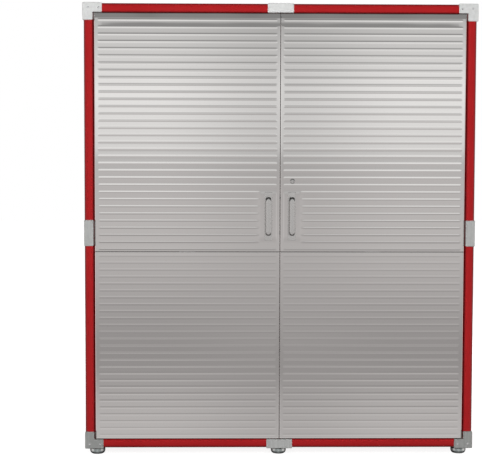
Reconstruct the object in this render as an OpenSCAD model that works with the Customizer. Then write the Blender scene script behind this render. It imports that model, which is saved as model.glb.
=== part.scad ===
// Two-door steel storage cabinet on levelling feet.
// A tubular front frame in halves, covered at its joints by corner caps and clips, carries folded sheet
// panels, a centre divider with slotted standards, lift-out shelves and two inset doors with ribbed skins.
// Millimetres. +Z is up, the front faces -Y and the origin is on the floor under the middle of the cabinet.

/* [Frame] */
// Width of the front frame over its stiles
frame_w = 1676; // [1300:2:2000]
// Height of the front frame, without the feet
frame_h = 1910; // [1700:5:2200]
// Depth from the rail faces to the screw heads on the back
cabinet_d = 610; // [480:5:760]
// Width of a rail's face
rail_w = 40; // [34:1:52]
// Depth of a rail from front to back
rail_d = 36; // [34:1:48]
// Radius of a rail's front edges
rail_r = 9; // [4:0.5:14]
// Wall of the rail tube
rail_t = 1.5; // [1:0.1:2.5]
// Height above the frame's underside at which the stile halves meet
stile_joint = 932; // [700:1:1200]

/* [Corner caps and clips] */
// Wall of a corner cap, which is how far it stands proud of the rails
cap_t = 4; // [2:0.5:6]
// Length of a cap's level arm
cap_arm_x = 79; // [64:1:110]
// Length of a cap's upright arm
cap_arm_z = 73; // [60:1:110]
// Radius of a cap's corners, seen from the front
cap_r = 9; // [3:0.5:14]
// Distance that caps and clips stop short of a rail's inner edge
cap_inset = 2.5; // [1:0.5:6]
// Distance that caps and clips reach back along the rails
cap_wrap = 32; // [20:1:34]
// Room between a cap or clip and the rail inside it
cap_clear = 0.3; // [0.1:0.1:0.6]
// Length of a clip along its rail
clip_len = 112; // [80:1:160]
// Wall of a clip
clip_t = 2.5; // [1.5:0.5:5]

/* [Panels] */
// Sheet thickness of the panels, divider and shelves
sheet = 0.9; // [0.7:0.1:2]
// Width of the folded flanges on the side and top panels
flange = 30; // [20:1:33]
// Thickness of the hollow centre divider
divider_t = 24; // [18:1:40]

/* [Doors] */
// Gap between a door and the frame
door_gap = 3; // [2:0.5:6]
// Gap between the two doors
seam_gap = 4; // [2:0.5:8]
// Distance that the door faces lie behind the rail faces
door_set = 4; // [0:0.5:5]
// Thickness of a door
door_t = 24; // [20:1:28]
// Sheet thickness of a door's front skins
skin_t = 0.8; // [0.6:0.1:1.2]
// Sheet thickness of a door's inner pan
pan_t = 0.8; // [0.6:0.1:1.5]
// Distance of the pan's ends behind the door's face
pan_end_back = 5; // [2:0.5:5]
// Radius of the rolled edge on a door's hinge side
edge_r = 10; // [6:0.5:12]
// Height above the floor of the joint between a door's upper and lower skins
joint_z = 890; // [700:1:1000]
// Gap at that joint
joint_gap = 1.6; // [0.5:0.1:4]
// Width of the upright channel that stiffens a door
stiffener_w = 70; // [40:1:120]
// Room between a closed door and what it closes against
stop_gap = 0.3; // [0.2:0.1:1]

/* [Ribs] */
// Distance from rib to rib, to the nearest that divides a skin evenly
rib_pitch = 30.2; // [22:0.1:45]
// Width of a rib
rib_w = 12; // [6:0.5:18]
// Height of a rib above the skin
rib_h = 0.3; // [0.2:0.1:2]
// Distance from a rib's end to the door's edge
rib_end = 14; // [13:1:40]
// Distance from the middle of a skin's last rib to the skin's edge
rib_margin = 15.5; // [9:0.5:30]
// Distance from the middle of the top rib to the door's top edge
rib_top = 23; // [9:0.5:40]
// Width of the plain field beside the seam that takes the handle
field_w = 76; // [72:1:110]
// Height of that plain field
field_h = 216; // [212:1:280]

/* [Handles] */
// Height of the handles' middle above the floor
handle_z = 1043; // [1000:1:1060]
// Distance of a handle's middle from the middle of the cabinet
handle_x = 50.5; // [30:0.5:52]
// Distance between a handle's two screws
handle_cc = 152; // [96:1:180]
// Width of a handle's bar
handle_w = 22; // [14:1:30]
// Thickness of a handle's bar
handle_bar = 8; // [5:0.5:12]
// Thickness of a handle's ends where they meet the plate
handle_end = 13; // [9:0.5:16]
// Distance that a handle stands out from the door's face
handle_stand = 34; // [28:1:50]
// Radius of a handle's bends
handle_r = 18; // [13:0.5:22]
// Radius of the bar's ends, seen from the front
handle_tip_r = 9; // [4:0.5:10]
// Width of a handle's plate
plate_w = 35; // [30:1:50]
// Height of a handle's plate
plate_h = 207; // [200:1:210]
// Thickness of a handle's plate
plate_t = 2; // [1:0.5:4]
// Radius of the plate's corners
plate_r = 5; // [2:0.5:12]

/* [Lock] */
// Height of the lock above the floor
lock_z = 1193; // [1180:1:1400]
// Distance of the lock from the middle of the cabinet
lock_x = 53; // [46:0.5:60]
// Diameter of the lock's head
lock_head_d = 22; // [20:0.5:30]
// Distance that the lock's head stands out from the skin
lock_head_t = 3; // [1.5:0.5:6]
// Diameter of the lock's barrel
lock_d = 19; // [17:0.5:19.5]
// Diameter of the plug that the key turns
plug_d = 14; // [11:0.5:15]
// Distance that the plug stands out from the head
plug_out = 0.6; // [0.2:0.1:2]
// Diameter of the plug's tail, which carries the cam
tail_d = 8; // [6:0.5:9]
// Distance that the barrel reaches behind the door
barrel_back = 4; // [2:0.5:4.5]
// Length of the cam from its pivot to its tip
cam_len = 34; // [30:0.5:36]
// Width of the cam
cam_w = 14; // [12:0.5:18]
// Thickness of the cam
cam_t = 3; // [2:0.5:5]
// Width of the slot for the key
key_w = 2.4; // [1.5:0.1:4]
// Height of the slot for the key
key_h = 8; // [5:0.5:9]
// Depth of the slot for the key
key_deep = 18; // [8:1:24]
// Length of the keeper's tab, from the divider's face
keeper_tab = 13; // [9:0.5:14]
// Thickness of the keeper
keeper_t = 2; // [1.5:0.1:2.4]
// Height of the keeper
keeper_h = 40; // [24:1:80]
// Depth of the keeper's foot along the divider
keeper_foot = 30; // [20:1:60]

/* [Hinges and bolts] */
// Diameter of the hinge pins
pivot_d = 8; // [6:0.5:10]
// Distance of the hinge axis from the door's hinge-side edge
pivot_in = 12; // [12:0.5:15]
// Distance of the hinge axis behind the door's face
pivot_back = 11; // [10:0.5:12]
// Distance that a hinge pin reaches past the frame's inner edge
pivot_reach = 11; // [6:1:20]
// Diameter of the boss that carries a hinge pin inside the door
boss_d = 16; // [13:0.5:18]
// Length of that boss
boss_len = 30; // [15:1:60]
// Outer diameter of the hinge bushes
bush_d = 12; // [11:0.5:15]
// Diameter of a bush's flange
bush_flange_d = 19; // [16:0.5:22]
// Length of a bush's sleeve inside the rail
bush_len = 14; // [8:1:24]
// Diameter of the left door's sliding bolts
bolt_d = 8; // [6:0.5:10]
// Length of a sliding bolt
bolt_len = 150; // [120:1:240]
// Distance that a sliding bolt travels
bolt_travel = 14; // [8:0.5:18]
// Distance of the bolts from the door's seam edge
bolt_in = 40; // [34:1:70]
// Distance of the bolts behind the door's face
bolt_back = 14; // [11:0.5:15]
// Diameter of a bolt's thumb knob
knob_d = 12; // [9:0.5:18]
// Distance that a thumb knob stands out behind the door
knob_out = 10; // [6:0.5:16]
// Room all round a bolt in its hole in the frame, and round its knob's neck
bolt_room = 1; // [0.3:0.1:2]
// Thickness of the tab that guides a bolt's inner end
guide_t = 3; // [2:0.5:6]

/* [Catches] */
// Width of a magnetic catch, from the divider's face
catch_w = 14; // [10:0.5:15]
// Depth of a magnetic catch
catch_d = 16; // [10:1:30]
// Height of a magnetic catch
catch_h = 44; // [30:1:80]
// Distance of the catches from the doors' ends
catch_end = 64; // [40:1:200]

/* [Shelves] */
// Number of slots below the lowest shelf
lowest_shelf_slot_count = 8; // [6:1:9]
// Number of slots from shelf to shelf
shelf_slot_count = 9; // [8:1:9]
// Height of a shelf's folded edge
shelf_edge = 28; // [20:1:36]
// Room between a shelf and the standards on each side of it
shelf_gap = 2; // [1.6:0.1:4]
// Distance of a shelf's front edge behind the closed doors
shelf_front = 36; // [24:1:80]
// Distance of a shelf's rear edge from the back panels
shelf_rear = 14; // [6:1:40]
// Width of a standard
standard_w = 26; // [18:1:40]
// Depth of the shallow standards on the divider
strip_d = 8; // [8:0.5:14]
// Distance of the front standards behind the closed doors
standard_front = 48; // [44:1:90]
// Distance of the rear standards from the back panels
standard_rear = 60; // [40:1:120]
// Distance from slot to slot
slot_pitch = 50; // [44:0.5:52]
// Height of the lowest slot above the cabinet's floor
slot_first = 25; // [10:1:30]
// Height of a slot
slot_h = 14; // [12:0.5:20]
// Width of a slot
slot_w = 5; // [4.5:0.1:9]
// Distance that a shelf clip's ledge reaches under the shelf
ledge = 14; // [9:0.5:20]
// Width of a shelf clip's ledge
ledge_w = 18; // [10:0.5:24]
// Thickness of a shelf clip's ledge
ledge_t = 3; // [2:0.5:5]
// Thickness of a shelf clip at the standard
clip_plate = 1.2; // [0.8:0.1:1.5]
// Height of a shelf clip's tongue
tongue_h = 11; // [8:0.5:12]
// Width of a shelf clip's tongue
tongue_w = 4; // [2.5:0.1:4.2]
// Distance that a tongue reaches into its standard
tongue_in = 6; // [3:0.5:6.5]

/* [Feet] */
// Height of the frame's underside above the floor
foot_h = 38; // [34:1:60]
// Largest diameter of a foot
foot_d = 67; // [50:1:76]
// Diameter of the flat that a foot stands on
foot_base_d = 40; // [24:1:44]
// Height of a foot's bowl
bowl_h = 30; // [22:1:32]
// Distance of the feet from the frame's sides
foot_in_x = 46; // [44:1:120]
// Distance of the feet from the front and the back
foot_in_y = 78; // [76:1:140]
// Diameter of a foot's threaded stem
stem_d = 10; // [8:0.5:14]
// Diameter of the collar on top of a foot
collar_d = 22; // [18:0.5:30]
// Height of the brackets' underside above the frame's underside
bracket_up = 2; // [1:0.5:5]
// Width and length of a foot's bracket
bracket_w = 68; // [50:1:78]
// Thickness of a foot's bracket
bracket_t = 3; // [2:0.5:5]
// Distance across the corners of the nut in a bracket
nut_d = 19; // [18:0.5:26]
// Height of the nut in a bracket
nut_h = 8; // [5:0.5:12]
// Room above a foot's stem, under the cabinet's floor
stem_top = 4; // [2:0.5:10]

/* [Screws and fits] */
// Diameter of a screw's head
head_d = 9; // [7:0.5:11]
// Height of a screw's head
head_h = 2.5; // [1.5:0.1:4]
// Diameter of a panel screw's shank
shank_d = 4; // [3:0.1:5]
// Length of a panel screw's shank
shank_len = 8; // [7:0.5:12]
// Diameter of a handle screw
screw_d = 5; // [4:0.1:6]
// Depth of the holes for the screws in a handle's ends
screw_deep = 12; // [6:0.5:14]
// Distance of a cap's outer screw from the end of the cap's arm
cap_screw_in = 14; // [10:0.5:20]
// Distance of the back panels' screws from their outer edges
back_screw_in = 14; // [10:0.5:18]
// Distance of the end screws in a column from the panel's ends
back_screw_end = 110; // [90:1:200]
// Distance of the screws in the top and bottom edges from those edges
back_screw_edge = 14; // [8:0.5:18]
// Number of screws in a column on the back panels
back_screw_rows = 6; // [3:1:10]
// Room all round a screw, sleeve or barrel in its hole
fit_gap = 0.1; // [0.05:0.01:0.2]
// Room all round a pin, plug, bolt or stem that turns or slides
run_gap = 0.05; // [0.02:0.01:0.1]

/* [Hidden] */
$fn = 64;

// Overshoot of a cut past the face that it opens
cut = 1;
// Steps round a rib's section
rib_steps = 6;
// Shelves in each bay
shelf_count = 3;
// Colours of the finishes
red_paint = [0.68, 0.15, 0.16];
steel = [0.74, 0.73, 0.72];
silver = [0.78, 0.79, 0.78];
zinc = [0.62, 0.63, 0.64];
dark = [0.22, 0.22, 0.23];

// Sides and ends: the right and the top are +1, the left and the bottom are -1
right = 1;
left = -1;
upper = 1;
lower = -1;

// Frame
half_w = frame_w / 2;
inner_x = half_w - rail_w;
z0 = foot_h;
z1 = foot_h + frame_h;
mid_z = (z0 + z1) / 2;
inner_z0 = z0 + rail_w;
inner_z1 = z1 - rail_w;
stile_joint_z = z0 + stile_joint;
handle_out = handle_stand - door_set;
front_y = -(cabinet_d - handle_out) / 2;
rail_back_y = front_y + rail_d;
back_y = front_y + cabinet_d - head_h;
back_in_y = back_y - sheet;
// Doors, drawn for the right-hand side
face_y = front_y + door_set;
door_back_y = face_y + door_t;
door_x0 = seam_gap / 2;
door_x1 = inner_x - door_gap;
door_z0 = inner_z0 + door_gap;
door_z1 = inner_z1 - door_gap;
pan_inset = skin_t + fit_gap;
pan_z0 = door_z0 + pan_inset;
pan_z1 = door_z1 - pan_inset;
pivot_x = door_x1 - pivot_in;
pivot_y = face_y + pivot_back;
bolt_x = door_x0 + bolt_in;
bolt_y = face_y + bolt_back;
// A bolt's thumb knob and guide, at the top: the guide is above the knob's travel
neck_d = bolt_d;
knob_z = door_z1 - bolt_len + bolt_d;
guide_z = knob_z + bolt_travel + 2 * bolt_d;
handle_len = handle_cc + handle_end;
plate_y = face_y - plate_t;
barrel_y = door_back_y + barrel_back;
cam_y = barrel_y + run_gap;
// Standards and shelves
standard_z0 = inner_z0;
standard_h = inner_z1 - inner_z0;
slot_count = floor((standard_h - slot_first - slot_h) / slot_pitch);
post_x = inner_x + sheet;
strip_x = divider_t / 2 + strip_d;
shelf_x0 = strip_x + shelf_gap;
shelf_x1 = post_x - shelf_gap;
shelf_y0 = door_back_y + shelf_front;
shelf_y1 = back_in_y - shelf_rear;
standard_ys = [door_back_y + standard_front, back_in_y - standard_rear - standard_w];
// Feet
deck_under_z = inner_z0 - sheet;
bracket_z = z0 + bracket_up;
foot_xs = [-(half_w - foot_in_x), 0, half_w - foot_in_x];
foot_front_y = front_y + foot_in_y;
foot_rear_y = back_y - foot_in_y;

// Height of the slot that carries a shelf
function slot_z(level) =
    standard_z0 + slot_first + (lowest_shelf_slot_count + level * shelf_slot_count) * slot_pitch;

// Draws what is on the right also on the left
module on_side(side) {
    mirror([side < 0 ? 1 : 0, 0, 0]) children();
}

// Draws what is at the top also at the bottom of the frame
module on_end(end) {
    translate([0, 0, mid_z]) mirror([0, 0, end < 0 ? 1 : 0]) translate([0, 0, -mid_z]) children();
}

// Extrudes an outline in Y and Z along +X
module along_x(len) {
    rotate([90, 0, 90]) linear_extrude(len) children();
}

// Extrudes an outline in X and Z along +Y
module along_y(len) {
    translate([0, len, 0]) rotate([90, 0, 0]) linear_extrude(len) children();
}

// A bar along +Y from a centre point
module rod_y(d, len) {
    rotate([-90, 0, 0]) cylinder(d = d, h = len);
}

// A rectangle with round corners, from its low corner
module soft_rect(w, h, r) {
    translate([0, r]) square([w, h - 2 * r]);
    translate([r, 0]) square([w - 2 * r, h]);
    for (x = [r, w - r], y = [r, h - r]) translate([x, y]) circle(r);
}

// A rectangle whose two front corners, at y = 0, are round
module soft_front(w, d, r) {
    intersection() {
        square([w, d]);
        union() {
            translate([0, r]) square([w, d - r]);
            translate([r, 0]) square([w - 2 * r, d]);
            for (x = [r, w - r]) translate([x, r]) circle(r);
        }
    }
}

// A rail's section, grown or shrunk all round
module rail_section(grow = 0) {
    translate([-grow, -grow]) soft_front(rail_w + 2 * grow, rail_d + 2 * grow, rail_r + grow);
}

module tube_section() {
    difference() {
        rail_section();
        rail_section(-rail_t);
    }
}

// The space of an upright rail at the right-hand side
module stile_space(z_from, z_to, grow) {
    translate([inner_x, front_y, z_from]) linear_extrude(z_to - z_from) rail_section(grow);
}

// The space of the level rail at the top
module rail_space(x_from, x_to, grow) {
    translate([x_from, front_y, inner_z1]) along_x(x_to - x_from) mirror([1, -1]) rail_section(grow);
}

// Screws

// A screw with its head towards -Y and its seat at y = 0
module screw(d, len) {
    translate([0, -head_h, 0]) rod_y(head_d, head_h);
    rod_y(d, len);
}

// Places of a cap's two screws, at the top right
module at_cap_screws() {
    for (x = [half_w - rail_w / 2, half_w - cap_arm_x + cap_screw_in])
        translate([x, front_y - cap_t, z1 - rail_w / 2]) children();
}

// Places of the screws in the back panels
module at_back_screws() {
    rows = back_screw_rows - 1;
    step = (frame_h - 2 * back_screw_end) / rows;
    for (side = [right, left], x = [half_w - back_screw_in, divider_t / 4], row = [0 : rows])
        translate([side * x, back_y, z0 + back_screw_end + row * step]) children();
    for (side = [right, left], z = [z0 + back_screw_edge, z1 - back_screw_edge])
        translate([side * half_w / 2, back_y, z]) children();
}

module back_screw_holes() {
    at_back_screws() translate([0, -shank_len - cut, 0])
        rod_y(shank_d + 2 * fit_gap, shank_len + 2 * cut);
}

module panel_screws() {
    color(zinc) {
        for (side = [right, left], end = [upper, lower])
            on_side(side) on_end(end) at_cap_screws() screw(shank_d, shank_len);
        at_back_screws() mirror([0, 1, 0]) screw(shank_d, shank_len);
    }
}

// Panels

// A sheet with four edges folded down, from its low corner
module folded_tray(w, d, edge) {
    difference() {
        cube([w, d, edge]);
        translate([sheet, sheet, -cut]) cube([w - 2 * sheet, d - 2 * sheet, edge - sheet + cut]);
    }
}

module side_panel(side) {
    color(red_paint) on_side(side) difference() {
        union() {
            translate([half_w - sheet, rail_back_y, z0]) cube([sheet, back_in_y - rail_back_y, frame_h]);
            for (y = [rail_back_y, back_in_y - sheet])
                translate([half_w - flange, y, inner_z0]) cube([flange, sheet, inner_z1 - inner_z0]);
        }
        back_screw_holes();
    }
}

module top_panel() {
    color(red_paint) difference() {
        translate([-half_w + sheet, rail_back_y, z1 - flange])
            folded_tray(frame_w - 2 * sheet, back_in_y - rail_back_y, flange);
        back_screw_holes();
    }
}

module floor_pan() {
    color(red_paint) difference() {
        translate([-half_w + sheet, rail_back_y, z0])
            folded_tray(frame_w - 2 * sheet, back_in_y - rail_back_y, rail_w);
        back_screw_holes();
    }
}

module back_panel(side) {
    color(red_paint) on_side(side) difference() {
        translate([0, back_in_y, z0]) cube([half_w, sheet, frame_h]);
        back_screw_holes();
    }
}

// The divider's outer space, shrunk by its wall: the front part and the higher part behind the top rail
module divider_space(wall) {
    w = divider_t - 2 * wall;
    front = door_back_y + stop_gap + wall;
    behind = rail_back_y + sheet + wall;
    rear = back_in_y - wall;
    z = inner_z0 + wall;
    translate([-w / 2, front, z]) cube([w, rear - front, inner_z1 - wall - z]);
    translate([-w / 2, behind, z]) cube([w, rear - behind, z1 - sheet - wall - z]);
}

module center_divider() {
    rear_flange_y = back_in_y - sheet;
    color(red_paint) difference() {
        divider_space(0);
        divider_space(sheet);
        translate([-divider_t, rear_flange_y, z1 - flange]) cube([2 * divider_t, sheet + cut, flange]);
        back_screw_holes();
    }
}

// Front frame

// Holes for a cap's screws in the front wall of the rails, at the top right
module cap_screw_holes() {
    at_cap_screws() rod_y(shank_d + 2 * fit_gap, cap_t + rail_t + cut);
}

module level_rail(side, end, bolt_hole) {
    hole_h = rail_t + 2 * cut;
    color(red_paint) on_side(side) on_end(end) difference() {
        translate([0, front_y, inner_z1]) along_x(inner_x) mirror([1, -1]) tube_section();
        translate([pivot_x, pivot_y, inner_z1 - cut]) cylinder(d = bush_d + 2 * fit_gap, h = hole_h);
        if (bolt_hole)
            translate([bolt_x, bolt_y, inner_z1 - cut]) cylinder(d = bolt_d + 2 * bolt_room, h = hole_h);
        cap_screw_holes();
    }
}

module stile(side, z_from, z_to) {
    color(red_paint) on_side(side) difference() {
        translate([inner_x, front_y, z_from]) linear_extrude(z_to - z_from) tube_section();
        for (end = [upper, lower]) on_end(end) cap_screw_holes();
    }
}

module corner_cap(side, end) {
    reach = cap_t - cap_inset + rail_w;
    color(silver) on_side(side) on_end(end) difference() {
        translate([0, front_y - cap_t, 0]) along_y(cap_t + cap_wrap) union() {
            translate([half_w - cap_arm_x, inner_z1 + cap_inset]) soft_rect(cap_arm_x + cap_t, reach, cap_r);
            translate([inner_x + cap_inset, z1 - cap_arm_z]) soft_rect(reach, cap_arm_z + cap_t, cap_r);
        }
        stile_space(z1 - cap_arm_z - cut, z1 + cap_clear, cap_clear);
        rail_space(half_w - cap_arm_x - cut, half_w + cap_clear, cap_clear);
        at_cap_screws() translate([0, -cut, 0]) rod_y(shank_d + 2 * fit_gap, cap_t + 2 * cut);
    }
}

module level_clip() {
    reach = clip_t - cap_inset + rail_w;
    difference() {
        translate([-clip_len / 2, front_y - clip_t, inner_z1 + cap_inset])
            along_y(clip_t + cap_wrap) soft_rect(clip_len, reach, cap_r);
        rail_space(-clip_len / 2 - cut, clip_len / 2 + cut, cap_clear);
    }
}

module upright_clip() {
    reach = clip_t - cap_inset + rail_w;
    difference() {
        translate([inner_x + cap_inset, front_y - clip_t, stile_joint_z - clip_len / 2])
            along_y(clip_t + cap_wrap) soft_rect(reach, clip_len, cap_r);
        stile_space(stile_joint_z - clip_len / 2 - cut, stile_joint_z + clip_len / 2 + cut, cap_clear);
    }
}

module rail_clips() {
    color(silver) {
        for (end = [upper, lower]) on_end(end) level_clip();
        for (side = [right, left]) on_side(side) upright_clip();
    }
}

// Inside fittings

// A slotted channel whose web faces -X at x = 0 and whose open side is depth behind it
module standard(depth) {
    difference() {
        cube([depth, standard_w, standard_h]);
        translate([sheet, sheet, -cut])
            cube([depth - sheet + cut, standard_w - 2 * sheet, standard_h + 2 * cut]);
        for (slot = [0 : slot_count])
            translate([-cut, (standard_w - slot_w) / 2, slot_first + slot * slot_pitch])
                cube([sheet + 2 * cut, slot_w, slot_h]);
    }
}

module shelf_standards() {
    color(zinc) for (side = [right, left], y = standard_ys) on_side(side) {
        translate([post_x, y, standard_z0]) standard(half_w - sheet - post_x);
        translate([strip_x, y, standard_z0]) mirror([1, 0, 0]) standard(strip_d);
    }
}

// A clip whose ledge points to -X and whose tongue passes through the slot at x = 0
module shelf_clip() {
    middle = standard_w / 2;
    translate([-ledge, middle - ledge_w / 2, 0]) cube([ledge, ledge_w, ledge_t]);
    translate([-clip_plate, middle - tongue_w / 2, 0]) cube([clip_plate + tongue_in, tongue_w, tongue_h]);
}

module shelf_clips() {
    color(zinc) for (side = [right, left], y = standard_ys, level = [0 : shelf_count - 1]) on_side(side) {
        translate([post_x, y, slot_z(level)]) shelf_clip();
        translate([strip_x, y, slot_z(level)]) mirror([1, 0, 0]) shelf_clip();
    }
}

module shelf(side, level) {
    color(silver) on_side(side) translate([shelf_x0, shelf_y0, slot_z(level) + ledge_t])
        folded_tray(shelf_x1 - shelf_x0, shelf_y1 - shelf_y0, shelf_edge);
}

module magnetic_catches() {
    color(dark) for (side = [right, left], end = [upper, lower]) on_side(side) on_end(end)
        translate([divider_t / 2, door_back_y + stop_gap, door_z1 - catch_end - catch_h])
            cube([catch_w, catch_d, catch_h]);
}

module lock_keeper() {
    tab_y = door_back_y + barrel_back / 2 - keeper_t / 2;
    color(zinc) translate([divider_t / 2, tab_y, lock_z - keeper_h / 2]) {
        cube([keeper_tab, keeper_t, keeper_h]);
        cube([keeper_t, keeper_foot, keeper_h]);
    }
}

module hinge_bushes() {
    flange_t = door_gap - stop_gap;
    bore_h = flange_t + bush_len + 2 * cut;
    color(dark) for (side = [right, left], end = [upper, lower]) on_side(side) on_end(end)
        translate([pivot_x, pivot_y, inner_z1]) difference() {
            union() {
                translate([0, 0, -flange_t]) cylinder(d = bush_flange_d, h = flange_t);
                cylinder(d = bush_d, h = bush_len);
            }
            translate([0, 0, -flange_t - cut]) cylinder(d = pivot_d + 2 * run_gap, h = bore_h);
        }
}

// Feet

// A channel under the cabinet's floor with a nut for a foot's stem, from the middle of its underside
module foot_bracket() {
    height = deck_under_z - bracket_z;
    difference() {
        union() {
            translate([-bracket_w / 2, -bracket_w / 2, 0]) difference() {
                cube([bracket_w, bracket_w, height]);
                translate([bracket_t, -cut, bracket_t])
                    cube([bracket_w - 2 * bracket_t, bracket_w + 2 * cut, height]);
            }
            translate([0, 0, bracket_t]) cylinder(d = nut_d, h = nut_h, $fn = 6);
        }
        translate([0, 0, -cut]) cylinder(d = stem_d + 2 * run_gap, h = bracket_t + nut_h + 2 * cut);
    }
}

module foot_brackets() {
    color(zinc) for (x = foot_xs, y = [foot_front_y, foot_rear_y])
        translate([x, y, bracket_z]) foot_bracket();
}

module foot(x, y) {
    radius = foot_d / 2;
    middle = sqrt(pow(radius, 2) - pow(foot_base_d / 2, 2));
    color(zinc) translate([x, y, 0]) {
        intersection() {
            translate([0, 0, middle]) sphere(radius);
            translate([-radius, -radius, 0]) cube([foot_d, foot_d, bowl_h]);
        }
        translate([0, 0, middle]) cylinder(d = collar_d, h = bracket_z - stop_gap - middle);
        translate([0, 0, middle]) cylinder(d = stem_d, h = deck_under_z - stem_top - middle);
    }
}

// Doors, drawn for the right-hand side

// A door's level outline, shrunk by an inset, with the rolled edge on the hinge side
module door_outline(inset) {
    x0 = door_x0 + inset;
    x1 = door_x1 - inset;
    y0 = face_y + inset;
    y1 = door_back_y;
    r = edge_r - inset;
    translate([x0, y0]) square([x1 - r - x0, y1 - y0]);
    translate([x0, y0 + r]) square([x1 - x0, y1 - y0 - r]);
    translate([x1 - r, y0 + r]) circle(r);
}

// Upright holes at both ends of a door, for the hinge pins and, on one door, the bolts
module end_holes(with_bolts) {
    z = door_z0 - cut;
    height = door_z1 - door_z0 + 2 * cut;
    translate([pivot_x, pivot_y, z]) cylinder(d = pivot_d + 2 * fit_gap, h = height);
    if (with_bolts) translate([bolt_x, bolt_y, z]) cylinder(d = bolt_d + 2 * run_gap, h = height);
}

// Holes along Y for the handle's screws and, on one door, the lock
module face_holes(with_lock) {
    y = face_y - cut;
    len = door_t + 2 * cut;
    for (end = [upper, lower])
        translate([handle_x, y, handle_z + end * handle_cc / 2]) rod_y(screw_d + 2 * fit_gap, len);
    if (with_lock) translate([lock_x, y, lock_z]) rod_y(lock_d + 2 * fit_gap, len);
}

// One rib between two places across the door, at y = 0 on the skin's face
module rib(x_from, x_to) {
    crest = [for (i = [0 : rib_steps]) [-rib_h * sin(180 * i / rib_steps), rib_w * (i / rib_steps - 0.5)]];
    root = [[skin_t / 2, rib_w / 2], [skin_t / 2, -rib_w / 2]];
    translate([x_from, 0, 0]) along_x(x_to - x_from) polygon(concat(crest, root));
}

// Ribs from a skin's first to its last, cut short at the plain field round the handle
module ribs(z_first, z_last) {
    gaps = round((z_last - z_first) / rib_pitch);
    step = (z_last - z_first) / gaps;
    for (i = [0 : gaps]) {
        z = z_first + i * step;
        beside_field = abs(z - handle_z) < (field_h + rib_w) / 2;
        start = door_x0 + (beside_field ? field_w : rib_end);
        translate([0, face_y, z]) rib(start, door_x1 - rib_end);
    }
}

// The flat in the ribs that the lock's head sits on
module lock_flat() {
    translate([lock_x, face_y - rib_h - cut, lock_z]) rod_y(lock_head_d + 2 * fit_gap, rib_h + cut);
}

module door_skin(side, z_from, z_to, end, with_bolts, with_lock) {
    height = z_to - z_from;
    color(steel) on_side(side) difference() {
        union() {
            translate([0, 0, z_from]) linear_extrude(height) door_outline(0);
            ribs(z_from + rib_margin, z_to - (end > 0 ? rib_top : rib_margin));
        }
        translate([0, 0, end > 0 ? z_from - cut : z_from + skin_t])
            linear_extrude(height - skin_t + cut) door_outline(skin_t);
        translate([door_x0 + skin_t, door_back_y - cut, z_from - cut])
            cube([door_x1 - door_x0 - 2 * skin_t, 2 * cut, height + 2 * cut]);
        end_holes(with_bolts);
        face_holes(with_lock);
        if (with_lock) lock_flat();
    }
}

module door_skin_upper(side, with_bolts, with_lock) {
    door_skin(side, joint_z + joint_gap / 2, door_z1, upper, with_bolts, with_lock);
}

module door_skin_lower(side, with_bolts) {
    door_skin(side, door_z0, joint_z - joint_gap / 2, lower, with_bolts, false);
}

// The slot in the pan that a bolt's knob slides in, and the tab that guides the bolt, at the top
module knob_slot() {
    width = neck_d + 2 * bolt_room;
    translate([bolt_x - width / 2, door_back_y - pan_t - cut, knob_z - width / 2])
        cube([width, pan_t + 2 * cut, width + bolt_travel]);
}

module bolt_guide() {
    difference() {
        translate([bolt_x - bolt_d, bolt_y - bolt_d, guide_z])
            cube([2 * bolt_d, door_back_y - pan_t / 2 - bolt_y + bolt_d, guide_t]);
        end_holes(true);
    }
}

module door_pan(side, with_bolts, with_lock) {
    width = door_x1 - door_x0 - 2 * pan_inset;
    height = pan_z1 - pan_z0;
    wall_y = face_y + edge_r;
    end_y = face_y + pan_end_back;
    color(silver) on_side(side) {
        difference() {
            union() {
                translate([door_x0 + pan_inset, door_back_y - pan_t, pan_z0]) cube([width, pan_t, height]);
                for (x = [door_x0 + pan_inset, door_x1 - pan_inset - pan_t])
                    translate([x, wall_y, pan_z0]) cube([pan_t, door_back_y - wall_y, height]);
                for (z = [pan_z0, pan_z1 - pan_t])
                    translate([0, 0, z]) linear_extrude(pan_t) intersection() {
                        door_outline(pan_inset);
                        translate([0, end_y]) square([door_x1, door_back_y - end_y]);
                    }
            }
            end_holes(with_bolts);
            face_holes(with_lock);
            if (with_bolts) for (end = [upper, lower]) on_end(end) knob_slot();
        }
        if (with_bolts) for (end = [upper, lower]) on_end(end) bolt_guide();
    }
}

module door_stiffener(side) {
    middle = (door_x0 + door_x1) / 2;
    depth = door_t - skin_t - pan_t;
    z = pan_z0 + pan_t;
    height = pan_z1 - pan_t - z;
    color(zinc) on_side(side) translate([middle - stiffener_w / 2, face_y + skin_t, z]) difference() {
        cube([stiffener_w, depth, height]);
        translate([pan_t, pan_t, -cut])
            cube([stiffener_w - 2 * pan_t, depth - pan_t + cut, height + 2 * cut]);
    }
}

module hinge_pivots(side) {
    seat = pan_z1 - pan_t;
    tip = inner_z1 + pivot_reach;
    color(zinc) on_side(side) for (end = [upper, lower]) on_end(end) translate([pivot_x, pivot_y, 0]) {
        translate([0, 0, seat - boss_len]) cylinder(d = boss_d, h = boss_len);
        translate([0, 0, seat - boss_len / 2]) cylinder(d = pivot_d, h = tip - seat + boss_len / 2);
    }
}

module handle_plate(side) {
    color(steel) on_side(side) difference() {
        translate([handle_x - plate_w / 2, plate_y, handle_z - plate_h / 2])
            along_y(plate_t) soft_rect(plate_w, plate_h, plate_r);
        for (end = [upper, lower])
            translate([handle_x, plate_y - cut, handle_z + end * handle_cc / 2])
                rod_y(screw_d + 2 * fit_gap, plate_t + 2 * cut);
    }
}

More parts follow.
